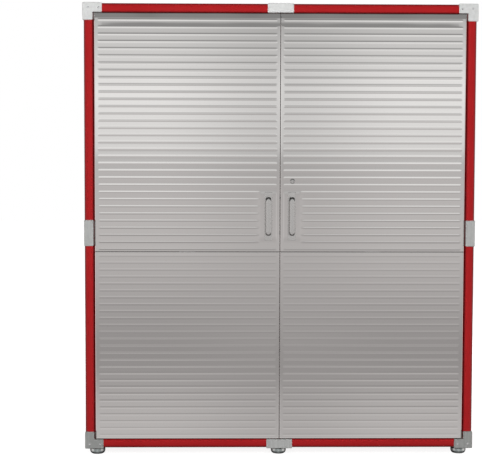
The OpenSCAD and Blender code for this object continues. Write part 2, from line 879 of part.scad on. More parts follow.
module handle(side) {
    depth = handle_stand - plate_t;
    gap_len = handle_len - 2 * handle_end;
    color(steel) on_side(side) translate([handle_x, 0, handle_z]) difference() {
        intersection() {
            translate([-handle_w / 2, plate_y - depth, -handle_len / 2])
                along_x(handle_w) mirror([1, -1]) difference() {
                    soft_front(handle_len, depth, handle_r);
                    translate([handle_end, handle_bar]) soft_front(gap_len, depth, handle_r - handle_bar);
                }
            translate([-handle_w / 2, plate_y - depth - cut, -handle_len / 2])
                along_y(depth + 2 * cut) soft_rect(handle_w, handle_len, handle_tip_r);
        }
        for (end = [upper, lower])
            translate([0, plate_y - screw_deep, end * handle_cc / 2])
                rod_y(screw_d + 2 * fit_gap, screw_deep + cut);
    }
}

module handle_screws(side) {
    len = door_t + plate_t + screw_deep - fit_gap;
    color(zinc) on_side(side) for (end = [upper, lower])
        translate([handle_x, door_back_y, handle_z + end * handle_cc / 2])
            mirror([0, 1, 0]) screw(screw_d, len);
}

// A bolt of the left door, drawn at the top right: a round bar with a thumb knob behind the door
module sliding_bolt(end) {
    color(zinc) on_side(left) on_end(end) {
        translate([bolt_x, bolt_y, door_z1 - bolt_len]) cylinder(d = bolt_d, h = bolt_len - stop_gap);
        translate([bolt_x, bolt_y, knob_z]) rod_y(neck_d, door_back_y + stop_gap - bolt_y);
        translate([bolt_x, door_back_y + stop_gap, knob_z]) rod_y(knob_d, knob_out - stop_gap);
    }
}

// Lock

module lock_housing() {
    color(steel) translate([lock_x, face_y, lock_z]) difference() {
        union() {
            translate([0, -lock_head_t, 0]) rod_y(lock_head_d, lock_head_t);
            rod_y(lock_d, door_t + barrel_back);
        }
        translate([0, -lock_head_t - cut, 0])
            rod_y(plug_d + 2 * run_gap, lock_head_t + door_t + barrel_back + 2 * cut);
    }
}

module lock_plug() {
    front = face_y - lock_head_t - plug_out;
    color(zinc) translate([lock_x, front, lock_z]) difference() {
        union() {
            rod_y(plug_d, cam_y - front);
            rod_y(tail_d, cam_y + 2 * cam_t - front);
        }
        translate([-key_w / 2, -cut, -key_h / 2]) cube([key_w, key_deep + cut, key_h]);
    }
}

module lock_cam() {
    color(zinc) translate([lock_x, cam_y, lock_z]) difference() {
        union() {
            rod_y(cam_w, cam_t);
            translate([-cam_w / 2, 0, -cam_len]) cube([cam_w, cam_t, cam_len]);
        }
        translate([0, -cut, 0]) rod_y(tail_d + 2 * run_gap, cam_t + 2 * cut);
    }
}

side_panel(left);  // left_side_panel
side_panel(right);  // right_side_panel
top_panel();
floor_pan();
back_panel(left);  // back_panel_left
back_panel(right);  // back_panel_right
center_divider();
level_rail(left, upper, true);  // top_rail_left
level_rail(right, upper, false);  // top_rail_right
level_rail(left, lower, true);  // bottom_rail_left
level_rail(right, lower, false);  // bottom_rail_right
stile(left, stile_joint_z, z1);  // left_stile_upper
stile(left, z0, stile_joint_z);  // left_stile_lower
stile(right, stile_joint_z, z1);  // right_stile_upper
stile(right, z0, stile_joint_z);  // right_stile_lower
corner_cap(left, upper);  // corner_cap_top_left
corner_cap(right, upper);  // corner_cap_top_right
corner_cap(left, lower);  // corner_cap_bottom_left
corner_cap(right, lower);  // corner_cap_bottom_right
rail_clips();
panel_screws();
shelf_standards();
shelf_clips();
hinge_bushes();
magnetic_catches();
lock_keeper();
foot_brackets();
foot(foot_xs[0], foot_front_y);  // foot_front_left
foot(foot_xs[1], foot_front_y);  // foot_front_center
foot(foot_xs[2], foot_front_y);  // foot_front_right
foot(foot_xs[0], foot_rear_y);  // foot_rear_left
foot(foot_xs[1], foot_rear_y);  // foot_rear_center
foot(foot_xs[2], foot_rear_y);  // foot_rear_right
shelf(left, 0);  // shelf_left_1
shelf(left, 1);  // shelf_left_2
shelf(left, 2);  // shelf_left_3
shelf(right, 0);  // shelf_right_1
shelf(right, 1);  // shelf_right_2
shelf(right, 2);  // shelf_right_3
door_pan(left, true, false);  // left_door_pan
door_skin_upper(left, true, false);  // left_door_skin_upper
door_skin_lower(left, true);  // left_door_skin_lower
door_stiffener(left);  // left_door_stiffener
hinge_pivots(left);  // left_hinge_pivots
handle_plate(left);  // left_handle_plate
handle(left);  // left_handle
handle_screws(left);  // left_handle_screws
sliding_bolt(upper);  // left_bolt_top
sliding_bolt(lower);  // left_bolt_bottom
door_pan(right, false, true);  // right_door_pan
door_skin_upper(right, false, true);  // right_door_skin_upper
door_skin_lower(right, false);  // right_door_skin_lower
door_stiffener(right);  // right_door_stiffener
hinge_pivots(right);  // right_hinge_pivots
handle_plate(right);  // right_handle_plate
handle(right);  // right_handle
handle_screws(right);  // right_handle_screws
lock_housing();
lock_plug();
lock_cam();
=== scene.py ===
"""Dresses a two-door steel storage cabinet: ribbed bright doors in a red tubular frame, on levelling feet.

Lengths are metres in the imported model's frame: +Z is up, the front faces -Y, the floor is at z = 0.
"""

import logging
import math
from collections.abc import Callable, Sequence
from dataclasses import dataclass, field
from enum import Enum

import bmesh
import bpy
import numpy as np
from mathutils import Matrix, Vector


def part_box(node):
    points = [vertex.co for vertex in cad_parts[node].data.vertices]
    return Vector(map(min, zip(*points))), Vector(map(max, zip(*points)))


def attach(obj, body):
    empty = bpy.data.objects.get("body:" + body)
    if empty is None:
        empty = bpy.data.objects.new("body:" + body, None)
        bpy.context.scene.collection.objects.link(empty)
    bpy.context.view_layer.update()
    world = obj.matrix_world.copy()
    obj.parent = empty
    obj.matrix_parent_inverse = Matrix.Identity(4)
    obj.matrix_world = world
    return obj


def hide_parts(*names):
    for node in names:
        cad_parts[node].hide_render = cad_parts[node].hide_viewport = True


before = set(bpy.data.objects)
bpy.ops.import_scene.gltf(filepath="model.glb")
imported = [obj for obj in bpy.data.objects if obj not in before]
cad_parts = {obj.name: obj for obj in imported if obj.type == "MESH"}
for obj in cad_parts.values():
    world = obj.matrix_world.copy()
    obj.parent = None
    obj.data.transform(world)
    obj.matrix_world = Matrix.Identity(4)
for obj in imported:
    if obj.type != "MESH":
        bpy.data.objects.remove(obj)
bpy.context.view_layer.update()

Array = np.ndarray
Colour = tuple[float, float, float]
Node = bpy.types.Node
Socket = bpy.types.NodeSocket

MM = 0.001
# Distance within which points are one, and the angle past which an edge is drawn sharp
WELD = 1e-6
CREASE = math.radians(38)
# Points on a quarter round
ROUND = 6
# Least radius inside a bend, and the inset of the row inside a round, as shares of the round's radius
TIGHT_BEND = 0.25
FLAT_ROW = 1.25
# Shares of turning away from the front between which a rounded edge passes into a plain side, where painted
# edge shade ends
PLAIN_SIDE = (0.93, 1.0)
# Range of a finish's tone over which its roughness changes
TONE_SPAN = (0.2, 0.8)
# The painted shade's upright streaks: count per metre on each axis, the grain's range, and what that becomes
STREAKS = (150, 150, 9)
STREAK_SPAN = (0.35, 0.65, 0.86, 1.0)
CARCASS = "carcass"

logging.basicConfig(level=logging.INFO, format="%(message)s")
log = logging.getLogger("cabinet")


class Place(Enum):
    """A choice whose name the nodes spell out."""

    @property
    def word(self) -> str:
        """The name as the nodes spell it."""
        return self.name.lower()


class Side(Place):
    """Left or right, as the sign of x."""

    LEFT = -1
    RIGHT = 1

    @property
    def door(self) -> str:
        """The body of the door on this side."""
        return f"{self.word}_door"


class End(Place):
    """Lower or upper, as the sign of z from the frame's middle."""

    LOWER = -1
    UPPER = 1

    @property
    def edge(self) -> str:
        """The end's name where the nodes say top or bottom."""
        return "top" if self is End.UPPER else "bottom"


# Surfaces


@dataclass
class Patch:
    """A surface as arrays.

    Attributes:
        points: Places of the points, n by 3.
        quads: Four-sided faces, as rows of point numbers.
        caps: Flat closing faces, each a loop of point numbers.
    """

    points: Array
    quads: Array
    caps: list[Array] = field(default_factory=list)

    def changed(self, change: Callable[[Array], Array]) -> "Patch":
        """The same faces on moved points.

        Args:
            change: Gives the new places from the old ones.

        Returns:
            The moved patch.
        """
        return Patch(change(self.points), self.quads, self.caps)

    def welded(self) -> "Patch":
        """Points that share a place become one, and faces that lose their area go.

        Returns:
            The welded patch. A quad that has lost one corner names its last corner twice.
        """
        keys = np.round(self.points / WELD).astype(np.int64)
        _, first, number = np.unique(keys, axis=0, return_index=True, return_inverse=True)
        number = number.reshape(-1)
        quads = number[self.quads]
        for corner in range(4):
            same = quads[:, corner] == quads[:, (corner + 1) % 4]
            quads[same] = np.roll(quads[same], 2 - corner, axis=1)
        distinct = np.sort(quads, axis=1)
        quads = quads[(np.diff(distinct, axis=1) != 0).sum(axis=1) >= 2]
        return Patch(self.points[first], quads, [number[cap] for cap in self.caps])


def join(*patches: Patch) -> Patch:
    """One patch from several, with nothing welded.

    Args:
        patches: The patches to put together.

    Returns:
        All their points and faces.
    """
    starts = np.cumsum([0, *(len(patch.points) for patch in patches[:-1])])
    return Patch(
        np.concatenate([patch.points for patch in patches]),
        np.concatenate([patch.quads + start for patch, start in zip(patches, starts)]),
        [cap + start for patch, start in zip(patches, starts) for cap in patch.caps],
    )


def lattice(points: Array, around: bool = False, looped: bool = False, first: bool = False,
            last: bool = False) -> Patch:
    """Faces over a grid of two parameters: point (row, column) joins its next row and next column.

    Args:
        points: Grid of places, rows by columns by 3.
        around: The last column meets the first one.
        looped: The last row meets the first one.
        first: A flat face closes the first row.
        last: A flat face closes the last row.

    Returns:
        The grid's faces.
    """
    rows, columns = points.shape[:2]
    index = np.arange(rows * columns).reshape(rows, columns)
    mesh = np.concatenate([index, index[:, :1]], axis=1) if around else index
    mesh = np.concatenate([mesh, mesh[:1]], axis=0) if looped else mesh
    quads = np.stack([mesh[:-1, :-1], mesh[:-1, 1:], mesh[1:, 1:], mesh[1:, :-1]], axis=-1)
    caps = [index[row] for row, wanted in ((0, first), (-1, last)) if wanted]
    return Patch(points.reshape(-1, 3), quads.reshape(-1, 4), caps)


def unit(vectors: Array) -> Array:
    """Vectors divided by their lengths, with a zero vector left at zero."""
    lengths = np.linalg.norm(vectors, axis=-1, keepdims=True)
    return vectors / np.where(lengths > 0, lengths, 1)


def smooth(low: float, high: float, value: Array) -> Array:
    """A soft step 3t^2 - 2t^3 from 0 at low to 1 at high.

    Args:
        low: Value at which the step starts.
        high: Value at which it ends, which may be below low.
        value: Where to work the step out.

    Returns:
        The step's height, in the shape of value.
    """
    t = np.clip((value - low) / (high - low), 0, 1)
    return t * t * (3 - 2 * t)


def sheet(points: Array, wall: float) -> Patch:
    """A closed sheet: a grid, the same grid moved along its normals by the wall, and four rims.

    The normal is the cross product of the grid's two directions of change.

    Args:
        points: Grid of places on one side of the sheet.
        wall: Thickness of the sheet.

    Returns:
        The closed sheet.
    """
    normal = unit(np.cross(np.gradient(points, axis=0), np.gradient(points, axis=1)))
    other = points + wall * normal
    rims = [np.stack([points[row], other[row]]) for row in (0, -1)]
    rims += [np.stack([points[:, column], other[:, column]]) for column in (0, -1)]
    return join(*(lattice(part) for part in (points, other, *rims))).welded()


def rounded_outline(corners: Sequence[tuple[float, float]], radii: Sequence[float],
                    steps: int) -> tuple[Array, Array]:
    """A closed outline whose corners are arcs that touch both of their sides.

    With the half angle h between a corner's sides, the arc's centre is r / sin h along their bisector and the
    arc turns by 180 degrees less 2h.

    Args:
        corners: Corners in order, counter-clockwise.
        radii: Radius at each corner.
        steps: Points on each arc.

    Returns:
        The outline's points and their outward unit normals.
    """
    corner = np.array(corners, float)
    radius = np.array(radii, float)[:, None]
    before = unit(np.roll(corner, 1, axis=0) - corner)
    after = unit(np.roll(corner, -1, axis=0) - corner)
    half = np.arccos(np.clip((before * after).sum(axis=1, keepdims=True), -1, 1)) / 2
    bulge = np.sign(after[:, :1] * before[:, 1:] - after[:, 1:] * before[:, :1])
    centre = corner + unit(before + after) * radius / np.sin(half)
    start = corner + before * radius / np.tan(half) - centre
    angle = np.arctan2(start[:, 1:], start[:, :1]) + bulge * (np.pi - 2 * half) * np.linspace(0, 1, steps)
    ray = np.stack([np.cos(angle), np.sin(angle)], axis=-1)
    points = centre[:, None] + radius[:, None] * ray
    return points.reshape(-1, 2), (ray * bulge[:, None]).reshape(-1, 2)


def rectangle(low: tuple[float, float], high: tuple[float, float]) -> list[tuple[float, float]]:
    """The corners of a rectangle, counter-clockwise."""
    return [low, (high[0], low[1]), high, (low[0], high[1])]


def quarter_round(radius: float, steps: int = ROUND) -> tuple[Array, Array]:
    """A quarter round's distances from the two sides that it joins: r(1 - sin t) and r(1 - cos t)."""
    turn = np.linspace(0, np.pi / 2, steps)
    return radius * (1 - np.sin(turn)), radius * (1 - np.cos(turn))


def block(outline: tuple[Array, Array], depth: float, edge: float, wall: float = 0.0) -> Patch:
    """A plate or tray: an outline carried from y = depth to a face at y = 0, whose edge is a quarter round.

    Row t of the round is inset by e(1 - cos t) and lies e(1 - sin t) behind the face. A last row just inside
    the round keeps the flat face's shading flat. With a wall, an inner skin follows at that distance and the
    back stays open.

    Args:
        outline: Points and normals in x and z.
        depth: Depth of the sides.
        edge: Radius of the round.
        wall: Thickness of a tray's sheet, or 0 for a solid plate.

    Returns:
        The closed block or tray.
    """
    points, normals = outline

    def rows(shrink: float) -> Array:
        """The rows of one skin, from the back to the face.

        Args:
            shrink: Distance by which the skin is shrunk all round.

        Returns:
            The rows, as a grid of places.
        """
        radius = max(edge - shrink, edge * TIGHT_BEND)
        behind, inward = quarter_round(radius)
        inset = np.concatenate([[0], inward, [radius * FLAT_ROW]]) + shrink
        y = np.concatenate([[depth], shrink + behind, [shrink]])
        flat = points[None] - inset[:, None, None] * normals[None]
        return np.stack([flat[..., 0], np.broadcast_to(y[:, None], flat.shape[:2]), flat[..., 1]], axis=-1)

    grid = np.concatenate([rows(0.0)[::-1], rows(wall)]) if wall else rows(0.0)
    return lattice(grid, around=True, first=True, last=True).welded()


def turned(radius: Array, height: Array, steps: int, looped: bool = False) -> Patch:
    """A turned form: (r cos a, r sin a, h) for every row's radius and height and every angle a.

    Args:
        radius: Radius by row, or by row and angle.
        height: Height by row.
        steps: Angles round the axis.
        looped: The last row meets the first one, as on a ring.

    Returns:
        The turned form, closed where its radius is zero.
    """
    angle = np.linspace(0, 2 * np.pi, steps, endpoint=False)
    reach = np.broadcast_to(radius.reshape(len(height), -1), (len(height), steps))
    levels = np.broadcast_to(height[:, None], reach.shape)
    grid = np.stack([reach * np.cos(angle), reach * np.sin(angle), levels], axis=-1)
    return lattice(grid, around=True, looped=looped).welded()


def facing_front(x: float, y: float, z: float) -> Callable[[Array], Array]:
    """A change that lays a form's +Z axis along -Y at a place.

    Args:
        x: Place of the form's origin.
        y: Place of the form's origin.
        z: Place of the form's origin.

    Returns:
        The change, for Patch.changed.
    """
    return lambda points: np.stack([x + points[:, 0], y - points[:, 2], z + points[:, 1]], axis=-1)


def moved(x: float, y: float, z: float) -> Callable[[Array], Array]:
    """A change that shifts a form, for Patch.changed."""
    return lambda points: points + np.array([x, y, z])


def on_side(side: Side) -> Callable[[Array], Array]:
    """A change that puts a form drawn for the right on a side, for Patch.changed."""
    return lambda points: points * np.array([side.value, 1, 1])


# Finishes


class Wiring:
    """Adds nodes to one tree and links them."""

    def __init__(self, tree: bpy.types.NodeTree) -> None:
        """Keeps the tree that gets the nodes."""
        self.tree = tree

    def feed(self, target: Socket, value: object) -> None:
        """Links a socket to a value that is a socket, or sets it to one that isn't.

        Args:
            target: The socket that gets the value.
            value: The value or the other socket.
        """
        if isinstance(value, bpy.types.NodeSocket):
            self.tree.links.new(value, target)
        else:
            target.default_value = value

    def add(self, kind: str, inputs: dict[str | int, object] | None = None, **settings: object) -> Node:
        """Adds a node.

        Args:
            kind: The node's type.
            inputs: Values or sockets for the node's inputs, by name or number.
            settings: The node's own properties.

        Returns:
            The new node.
        """
        node = self.tree.nodes.new(kind)
        for name, value in settings.items():
            setattr(node, name, value)
        for key, value in (inputs or {}).items():
            self.feed(node.inputs[key], value)
        return node

    def math(self, operation: str, first: object, second: object = 0.0, third: object = 0.0) -> Socket:
        """The result of a sum on values or sockets."""
        node = self.add("ShaderNodeMath", {0: first, 1: second, 2: third}, operation=operation)
        return node.outputs[0]

    def span(self, value: Socket, low: object, high: object, to_low: float, to_high: float) -> Socket:
        """A value carried softly from one range to another.

        Args:
            value: The value to carry.
            low: Start of its range.
            high: End of its range.
            to_low: What low becomes.
            to_high: What high becomes.

        Returns:
            The new value.
        """
        inputs = {0: value, 1: low, 2: high, 3: to_low, 4: to_high}
        return self.add("ShaderNodeMapRange", inputs, interpolation_type="SMOOTHSTEP").outputs[0]

    def mix(self, share: object, first: object, second: object) -> Socket:
        """The colour between two colours.

        Args:
            share: Share of the second one, from 0 to 1.
            first: The first colour.
            second: The second colour.

        Returns:
            The mixed colour.
        """
        node = self.add("ShaderNodeMix", data_type="RGBA")
        for number, value in ((0, share), (6, first), (7, second)):
            self.feed(node.inputs[number], value)
        return node.outputs[2]

    def blend(self, share: Socket, first: Node, second: Node) -> Node:
        """The shader between two shaders at a share from 0 to 1."""
        return self.add("ShaderNodeMixShader", {0: share, 1: first.outputs[0], 2: second.outputs[0]})

    def shared(self, effect: "SharedEffect", *values: object) -> Socket:
        """What a shared effect puts out, with this tree's own values for its inputs, in their order."""
        inputs = dict(zip(effect.inputs, values))
        return self.add("ShaderNodeGroup", inputs, node_tree=effect.group()).outputs[effect.output]

    def stretched_noise(self, stretch: tuple[float, float, float], detail: float = 2.0) -> Socket:
        """The shared grain on object coordinates, with its own count per metre on each axis."""
        return self.shared(GRAIN, self.place(), stretch, detail)

    def grime(self, low: float, high: float) -> Socket:
        """The shared painted shade: a streaky mask, whole below one height and gone above another."""
        return self.shared(STREAKY_SHADE, self.place(), low, high)

    def turned_edges(self, low: float, high: float) -> Socket:
        """The shared mask of rounded edges, setting in between two shares of turning away from the front, for
        painted shade and dark reflections.
        """
        return self.shared(ROUNDED_EDGES, self.add("ShaderNodeTexCoord").outputs["Normal"], low, high)

    def place(self) -> Socket:
        """Object coordinates."""
        return self.add("ShaderNodeTexCoord").outputs["Object"]

    def bump(self, height: Socket, strength: float, distance: float) -> Socket:
        """A normal that leans with a height."""
        inputs = {"Height": height, "Strength": strength, "Distance": distance}
        return self.add("ShaderNodeBump", inputs).outputs["Normal"]


@dataclass(frozen=True)
class SharedEffect:
    """A shader group that several finishes use.

    Attributes:
        name: The group's name.
        inputs: Socket types by input name.
        output: Name of the one value that it puts out.
        wire: Adds the group's nodes, from its inputs, and gives the socket that it puts out.
    """

    name: str
    inputs: dict[str, str]
    output: str
    wire: Callable[..., Socket]

    def group(self) -> bpy.types.NodeTree:
        """The group, built at its first use.

        Returns:
            The node group.
        """
        if self.name in bpy.data.node_groups:
            return bpy.data.node_groups[self.name]
        tree = bpy.data.node_groups.new(self.name, "ShaderNodeTree")
        for socket, kind in self.inputs.items():
            tree.interface.new_socket(socket, in_out="INPUT", socket_type=kind)
        tree.interface.new_socket(self.output, in_out="OUTPUT", socket_type="NodeSocketFloat")
        source, result = tree.nodes.new("NodeGroupInput"), tree.nodes.new("NodeGroupOutput")
        wiring = Wiring(tree)
        wiring.feed(result.inputs[0], self.wire(wiring, *source.outputs[:len(self.inputs)]))
        return tree


def wire_grain(wiring: Wiring, place: Socket, count: Socket, detail: Socket) -> Socket:
    """Noise from 0 to 1 with a count per metre on each axis."""
    scaled = wiring.add("ShaderNodeVectorMath", {0: place, 1: count}, operation="MULTIPLY").outputs[0]
    return wiring.add("ShaderNodeTexNoise", {"Vector": scaled, "Scale": 1.0, "Detail": detail}).outputs[0]


def wire_grime(wiring: Wiring, place: Socket, low: Socket, high: Socket) -> Socket:
    """A mask of painted shade that is 1 below a low height, with upright streaks, and 0 above a high one.

    Args:
        wiring: The group's nodes.
        place: Place on the surface.
        low: Height up to which the mask is whole.
        high: Height at which it is gone.

    Returns:
        The mask.
    """
    height = wiring.add("ShaderNodeSeparateXYZ", {0: place}).outputs[2]
    streak = wiring.span(wiring.shared(GRAIN, place, STREAKS), *STREAK_SPAN)
    return wiring.math("MULTIPLY", wiring.span(height, low, high, 1.0, 0.0), streak)


def wire_edges(wiring: Wiring, normal: Socket, low: Socket, high: Socket) -> Socket:
    """A mask that is 0 on fronts, 1 on rounded edges and 0 again on plain sides; finishes paint shade or dark
    reflections with it.

    A surface turns away from the front by 1 - |y| of its own normal: 0 on a front, 1 on a plain side.

    Args:
        wiring: The group's nodes.
        normal: The surface's normal.
        low: Share of turning away at which the mask begins.
        high: Share at which it is whole.

    Returns:
        The mask.
    """
    front = wiring.math("ABSOLUTE", wiring.add("ShaderNodeSeparateXYZ", {0: normal}).outputs[1])
    away = wiring.math("SUBTRACT", 1.0, front)
    sets_in, dies_out = wiring.span(away, low, high, 0.0, 1.0), wiring.span(away, *PLAIN_SIDE, 1.0, 0.0)
    return wiring.math("MULTIPLY", sets_in, dies_out)


VECTOR, FLOAT = "NodeSocketVector", "NodeSocketFloat"
GRAIN = SharedEffect("grain", {"Position": VECTOR, "Per metre": VECTOR, "Detail": FLOAT}, "Value", wire_grain)
STREAKY_SHADE = SharedEffect("grime", {"Position": VECTOR, "Low": FLOAT, "High": FLOAT}, "Mask", wire_grime)
ROUNDED_EDGES = SharedEffect(
    "rounded_edges", {"Normal": VECTOR, "Low": FLOAT, "High": FLOAT}, "Mask", wire_edges)


def linear(colour: Colour) -> tuple[float, float, float, float]:
    """A colour written from 0 to 255 as linear light.

    A screen's curve is straight at its foot and a power of 2.4 above it.

    Args:
        colour: Red, green and blue as they look on a screen.

    Returns:
        Linear red, green and blue, with full alpha.
    """
    part = np.array(colour) / 255
    light = np.where(part <= 0.04045, part / 12.92, ((part + 0.055) / 1.055) ** 2.4)
    return (*light.tolist(), 1.0)


@dataclass(frozen=True)
class Finish:
    """What a surface is made of.

    Attributes:
        slot: The record's material slot.
        colour: Main colour, from 0 to 255.
        second: Colour that the finish varies to.
        roughness: Least and greatest roughness.
        metallic: Share of metal.
        specular: Strength of the gloss on a paint or plastic.
        mottle: Count per metre of the patches in the second colour.
        relief: Count per metre of the fine relief, its strength and its depth in metres.
    """

    slot: str
    colour: Colour
    second: Colour
    roughness: tuple[float, float]
    metallic: float = 0.0
    specular: float = 0.5
    mottle: float = 6.0
    relief: tuple[float, float, float] = (700.0, 0.2, 0.0002)

    def tone(self, wiring: Wiring) -> Socket:
        """The share of the second colour over the surface."""
        return wiring.stretched_noise((self.mottle,) * 3)

    def height(self, wiring: Wiring) -> tuple[Socket, float, float]:
        """The surface's fine relief: its height, strength and depth in metres."""
        count, strength, depth = self.relief
        return wiring.stretched_noise((count,) * 3), strength, depth

    def colour_over(self, wiring: Wiring, base: Socket) -> Socket:
        """Changes the colour by painted shade or dark reflections that a finish adds, which is nothing here.
        """
        return base

    def material(self) -> bpy.types.Material:
        """The finish as a material, built at its first use.

        Returns:
            The node material.
        """
        known = bpy.data.materials.get(self.slot + "_finish")
        if known:
            return known
        material = bpy.data.materials.new(self.slot + "_finish")
        material.use_nodes = True
        wiring = Wiring(material.node_tree)
        shader = material.node_tree.nodes["Principled BSDF"]
        tone = self.tone(wiring)
        base = wiring.mix(tone, linear(self.colour), linear(self.second))
        wiring.feed(shader.inputs["Base Color"], self.colour_over(wiring, base))
        wiring.feed(shader.inputs["Roughness"], wiring.span(tone, *TONE_SPAN, *self.roughness))
        wiring.feed(shader.inputs["Normal"], wiring.bump(*self.height(wiring)))
        shader.inputs["Metallic"].default_value = self.metallic
        shader.inputs["Specular IOR Level"].default_value = self.specular
        return material


@dataclass(frozen=True)
class PowderCoat(Finish):
    """Baked paint: a fine orange peel, and painted shade that darkens the colour on rounded edges.

    Attributes:
        peel: Count per metre of the orange peel, its strength and its depth in metres.
        turn: Shares of turning away from the front between which the painted shade sets in.
        deeper: How much darker the painted shade makes the colour there.
    """

    peel: tuple[float, float, float] = (900.0, 0.25, 0.00008)
    turn: tuple[float, float] = (0.06, 0.42)
    deeper: float = 0.42

    def height(self, wiring: Wiring) -> tuple[Socket, float, float]:
        """The orange peel's relief."""
        count, strength, depth = self.peel
        return wiring.stretched_noise((count,) * 3, detail=1.0), strength, depth

    def colour_over(self, wiring: Wiring, base: Socket) -> Socket:
        """Painted shade over the paint: a darker colour on rounded edges."""
        share = wiring.math("MULTIPLY", wiring.turned_edges(*self.turn), self.deeper)
        return wiring.mix(share, base, (0, 0, 0, 1))


@dataclass(frozen=True)
class GrainedSteel(Finish):
    """Bare sheet or bar with a rolled or brushed grain along one axis.

    Attributes:
        grain: Count per metre of the grain on each axis.
        depth: Depth of the grain, in metres.
        strength: Strength of the grain.
        coarse: How many times coarser the streaks in the second colour are.
    """

    grain: tuple[float, float, float] = (4.0, 400.0, 900.0)
    depth: float = 0.000004
    strength: float = 0.3
    coarse: float = 8.0

    def tone(self, wiring: Wiring) -> Socket:
        """Long streaks in the direction of the grain."""
        return wiring.stretched_noise(tuple(count / self.coarse for count in self.grain), detail=3.0)

    def height(self, wiring: Wiring) -> tuple[Socket, float, float]:
        """The grain's relief."""
        return wiring.stretched_noise(self.grain), self.strength, self.depth


@dataclass(frozen=True)
class PlatedSteel(GrainedSteel):
    """Bright plated steel with a painted dark reflection on its rounded edges.

    Attributes:
        rim: Colour of the painted dark reflection on the rounded edges.
        turn: Shares of turning away from the front between which it sets in.
    """

    rim: Colour = (72, 72, 73)
    turn: tuple[float, float] = (0.08, 0.5)

    def colour_over(self, wiring: Wiring, base: Socket) -> Socket:
        """The painted dark reflection over the plating, on its rounded edges."""
        return wiring.mix(wiring.turned_edges(*self.turn), base, linear(self.rim))


@dataclass(frozen=True)
class Casting(Finish):
    """Silver die casting with painted shade: greyer in streaks below mid height, darkest near the floor at
    the sides.

    Attributes:
        mottle: Count per metre of the cast skin's patches.
        dirt: Colour of the painted shade.
        handled: Height below which the painted shade is whole, the height above which it is gone, and how
            grey it makes the metal.
        swept: The same for the deeper painted shade near the floor.
        corners: Distances from the middle between which that shade near the floor sets in.
    """

    mottle: float = 110.0
    dirt: Colour = (127, 129, 126)
    handled: tuple[float, float, float] = (1.1, 1.5, 0.52)
    swept: tuple[float, float, float] = (0.14, 0.4, 0.54)
    corners: tuple[float, float] = (0.3, 0.7)

    def tone(self, wiring: Wiring) -> Socket:
        """The cast skin's mottle."""
        return wiring.stretched_noise((self.mottle,) * 3, detail=3.0)

    def colour_over(self, wiring: Wiring, base: Socket) -> Socket:
        """Painted shade over the metal.

        Args:
            wiring: The material's nodes.
            base: The metal's own colour.

        Returns:
            The colour with the painted shade on it.
        """
        # Painted shade: streaky, greyer below mid height and darkest near the floor towards the sides
        across = wiring.math("ABSOLUTE", wiring.add("ShaderNodeSeparateXYZ", {0: wiring.place()}).outputs[0])
        light = wiring.math("MULTIPLY", wiring.grime(*self.handled[:2]), self.handled[2])
        heavy = wiring.math("MULTIPLY", wiring.grime(*self.swept[:2]), self.swept[2])
        heavy = wiring.math("MULTIPLY", heavy, wiring.span(across, *self.corners, 0.0, 1.0))
        return wiring.mix(heavy, wiring.mix(light, base, linear(self.dirt)), linear(self.dirt))


@dataclass(frozen=True)
class ZincPlate(Finish):
    """Bright zinc plating with a faint spangle.

    Attributes:
        mottle: Count per metre of the spangle's cells.
    """

    mottle: float = 160.0

    def tone(self, wiring: Wiring) -> Socket:
        """Cells of slightly different brightness."""
        inputs = {"Vector": wiring.place(), "Scale": self.mottle}
        return wiring.add("ShaderNodeTexVoronoi", inputs).outputs["Distance"]


class Finishes(Enum):
    """The cabinet's finishes."""

    # RED paints shade on its rounded edges
    RED = PowderCoat("red_powder_coat", (165, 27, 30), (159, 24, 27), (0.42, 0.5), specular=0.25)
    DOOR = GrainedSteel("door_steel", (219, 217, 215), (215, 213, 211), (0.03, 0.045), 1.0)
    # HANDLE paints a dark reflection on the rounded edges of the bows, plates and lock
    HANDLE = PlatedSteel("handle_steel", (217, 216, 214), (209, 208, 206), (0.2, 0.28), 1.0,
                         grain=(900.0, 400.0, 6.0), depth=0.00001, rim=(96, 96, 96), turn=(0.15, 0.55))
    # SILVER paints streaky shade below mid height and near the floor
    SILVER = Casting("silver_casting", (239, 240, 239), (215, 216, 215), (0.34, 0.44), 0.42)
    # GREY paints a light shade on its rounded edges
    GREY = PowderCoat("silver_grey_paint", (156, 158, 159), (149, 152, 153), (0.4, 0.5), 0.25, deeper=0.1)
    ZINC = ZincPlate("zinc_steel", (222, 223, 224), (206, 207, 208), (0.24, 0.36), 0.55)
    # FOOT paints a dark reflection on the bowl's rounded edges
    FOOT = PlatedSteel("foot_steel", (213, 224, 223), (160, 168, 167), (0.16, 0.26), 1.0,
                       grain=(300.0, 300.0, 2400.0), depth=0.00001)
    PLASTIC = Finish("dark_plastic", (38, 39, 40), (30, 31, 32), (0.45, 0.6))


def make_piece(name: str, patch: Patch, finish: Finishes, body: str, nodes: Sequence[str]) -> None:
    """Turns a closed patch into a piece of the cabinet.

    Args:
        name: The piece's name.
        patch: Its surface, in place.
        finish: Its finish.
        body: The CAD body it moves with.
        nodes: The CAD nodes it stands for.
    """
    three = patch.quads[:, 2] == patch.quads[:, 3]
    faces = patch.quads[~three].tolist() + patch.quads[three, :3].tolist()
    faces += [cap.tolist() for cap in patch.caps]
    mesh = bpy.data.meshes.new(name)
    mesh.from_pydata(patch.points, [], faces)
    shape = bmesh.new()
    shape.from_mesh(mesh)
    bmesh.ops.recalc_face_normals(shape, faces=shape.faces)
    shape.to_mesh(mesh)
    shape.free()
    mesh.polygons.foreach_set("use_smooth", np.ones(len(mesh.polygons), bool))
    mesh.set_sharp_from_angle(angle=CREASE)
    mesh.materials.append(finish.value.material())
    piece = bpy.data.objects.new(name, mesh)
    bpy.context.scene.collection.objects.link(piece)
    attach(piece, body)
    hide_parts(*nodes)
    log.info("%s: %d faces, rides on %s", name, len(mesh.polygons), body)


# Front frame


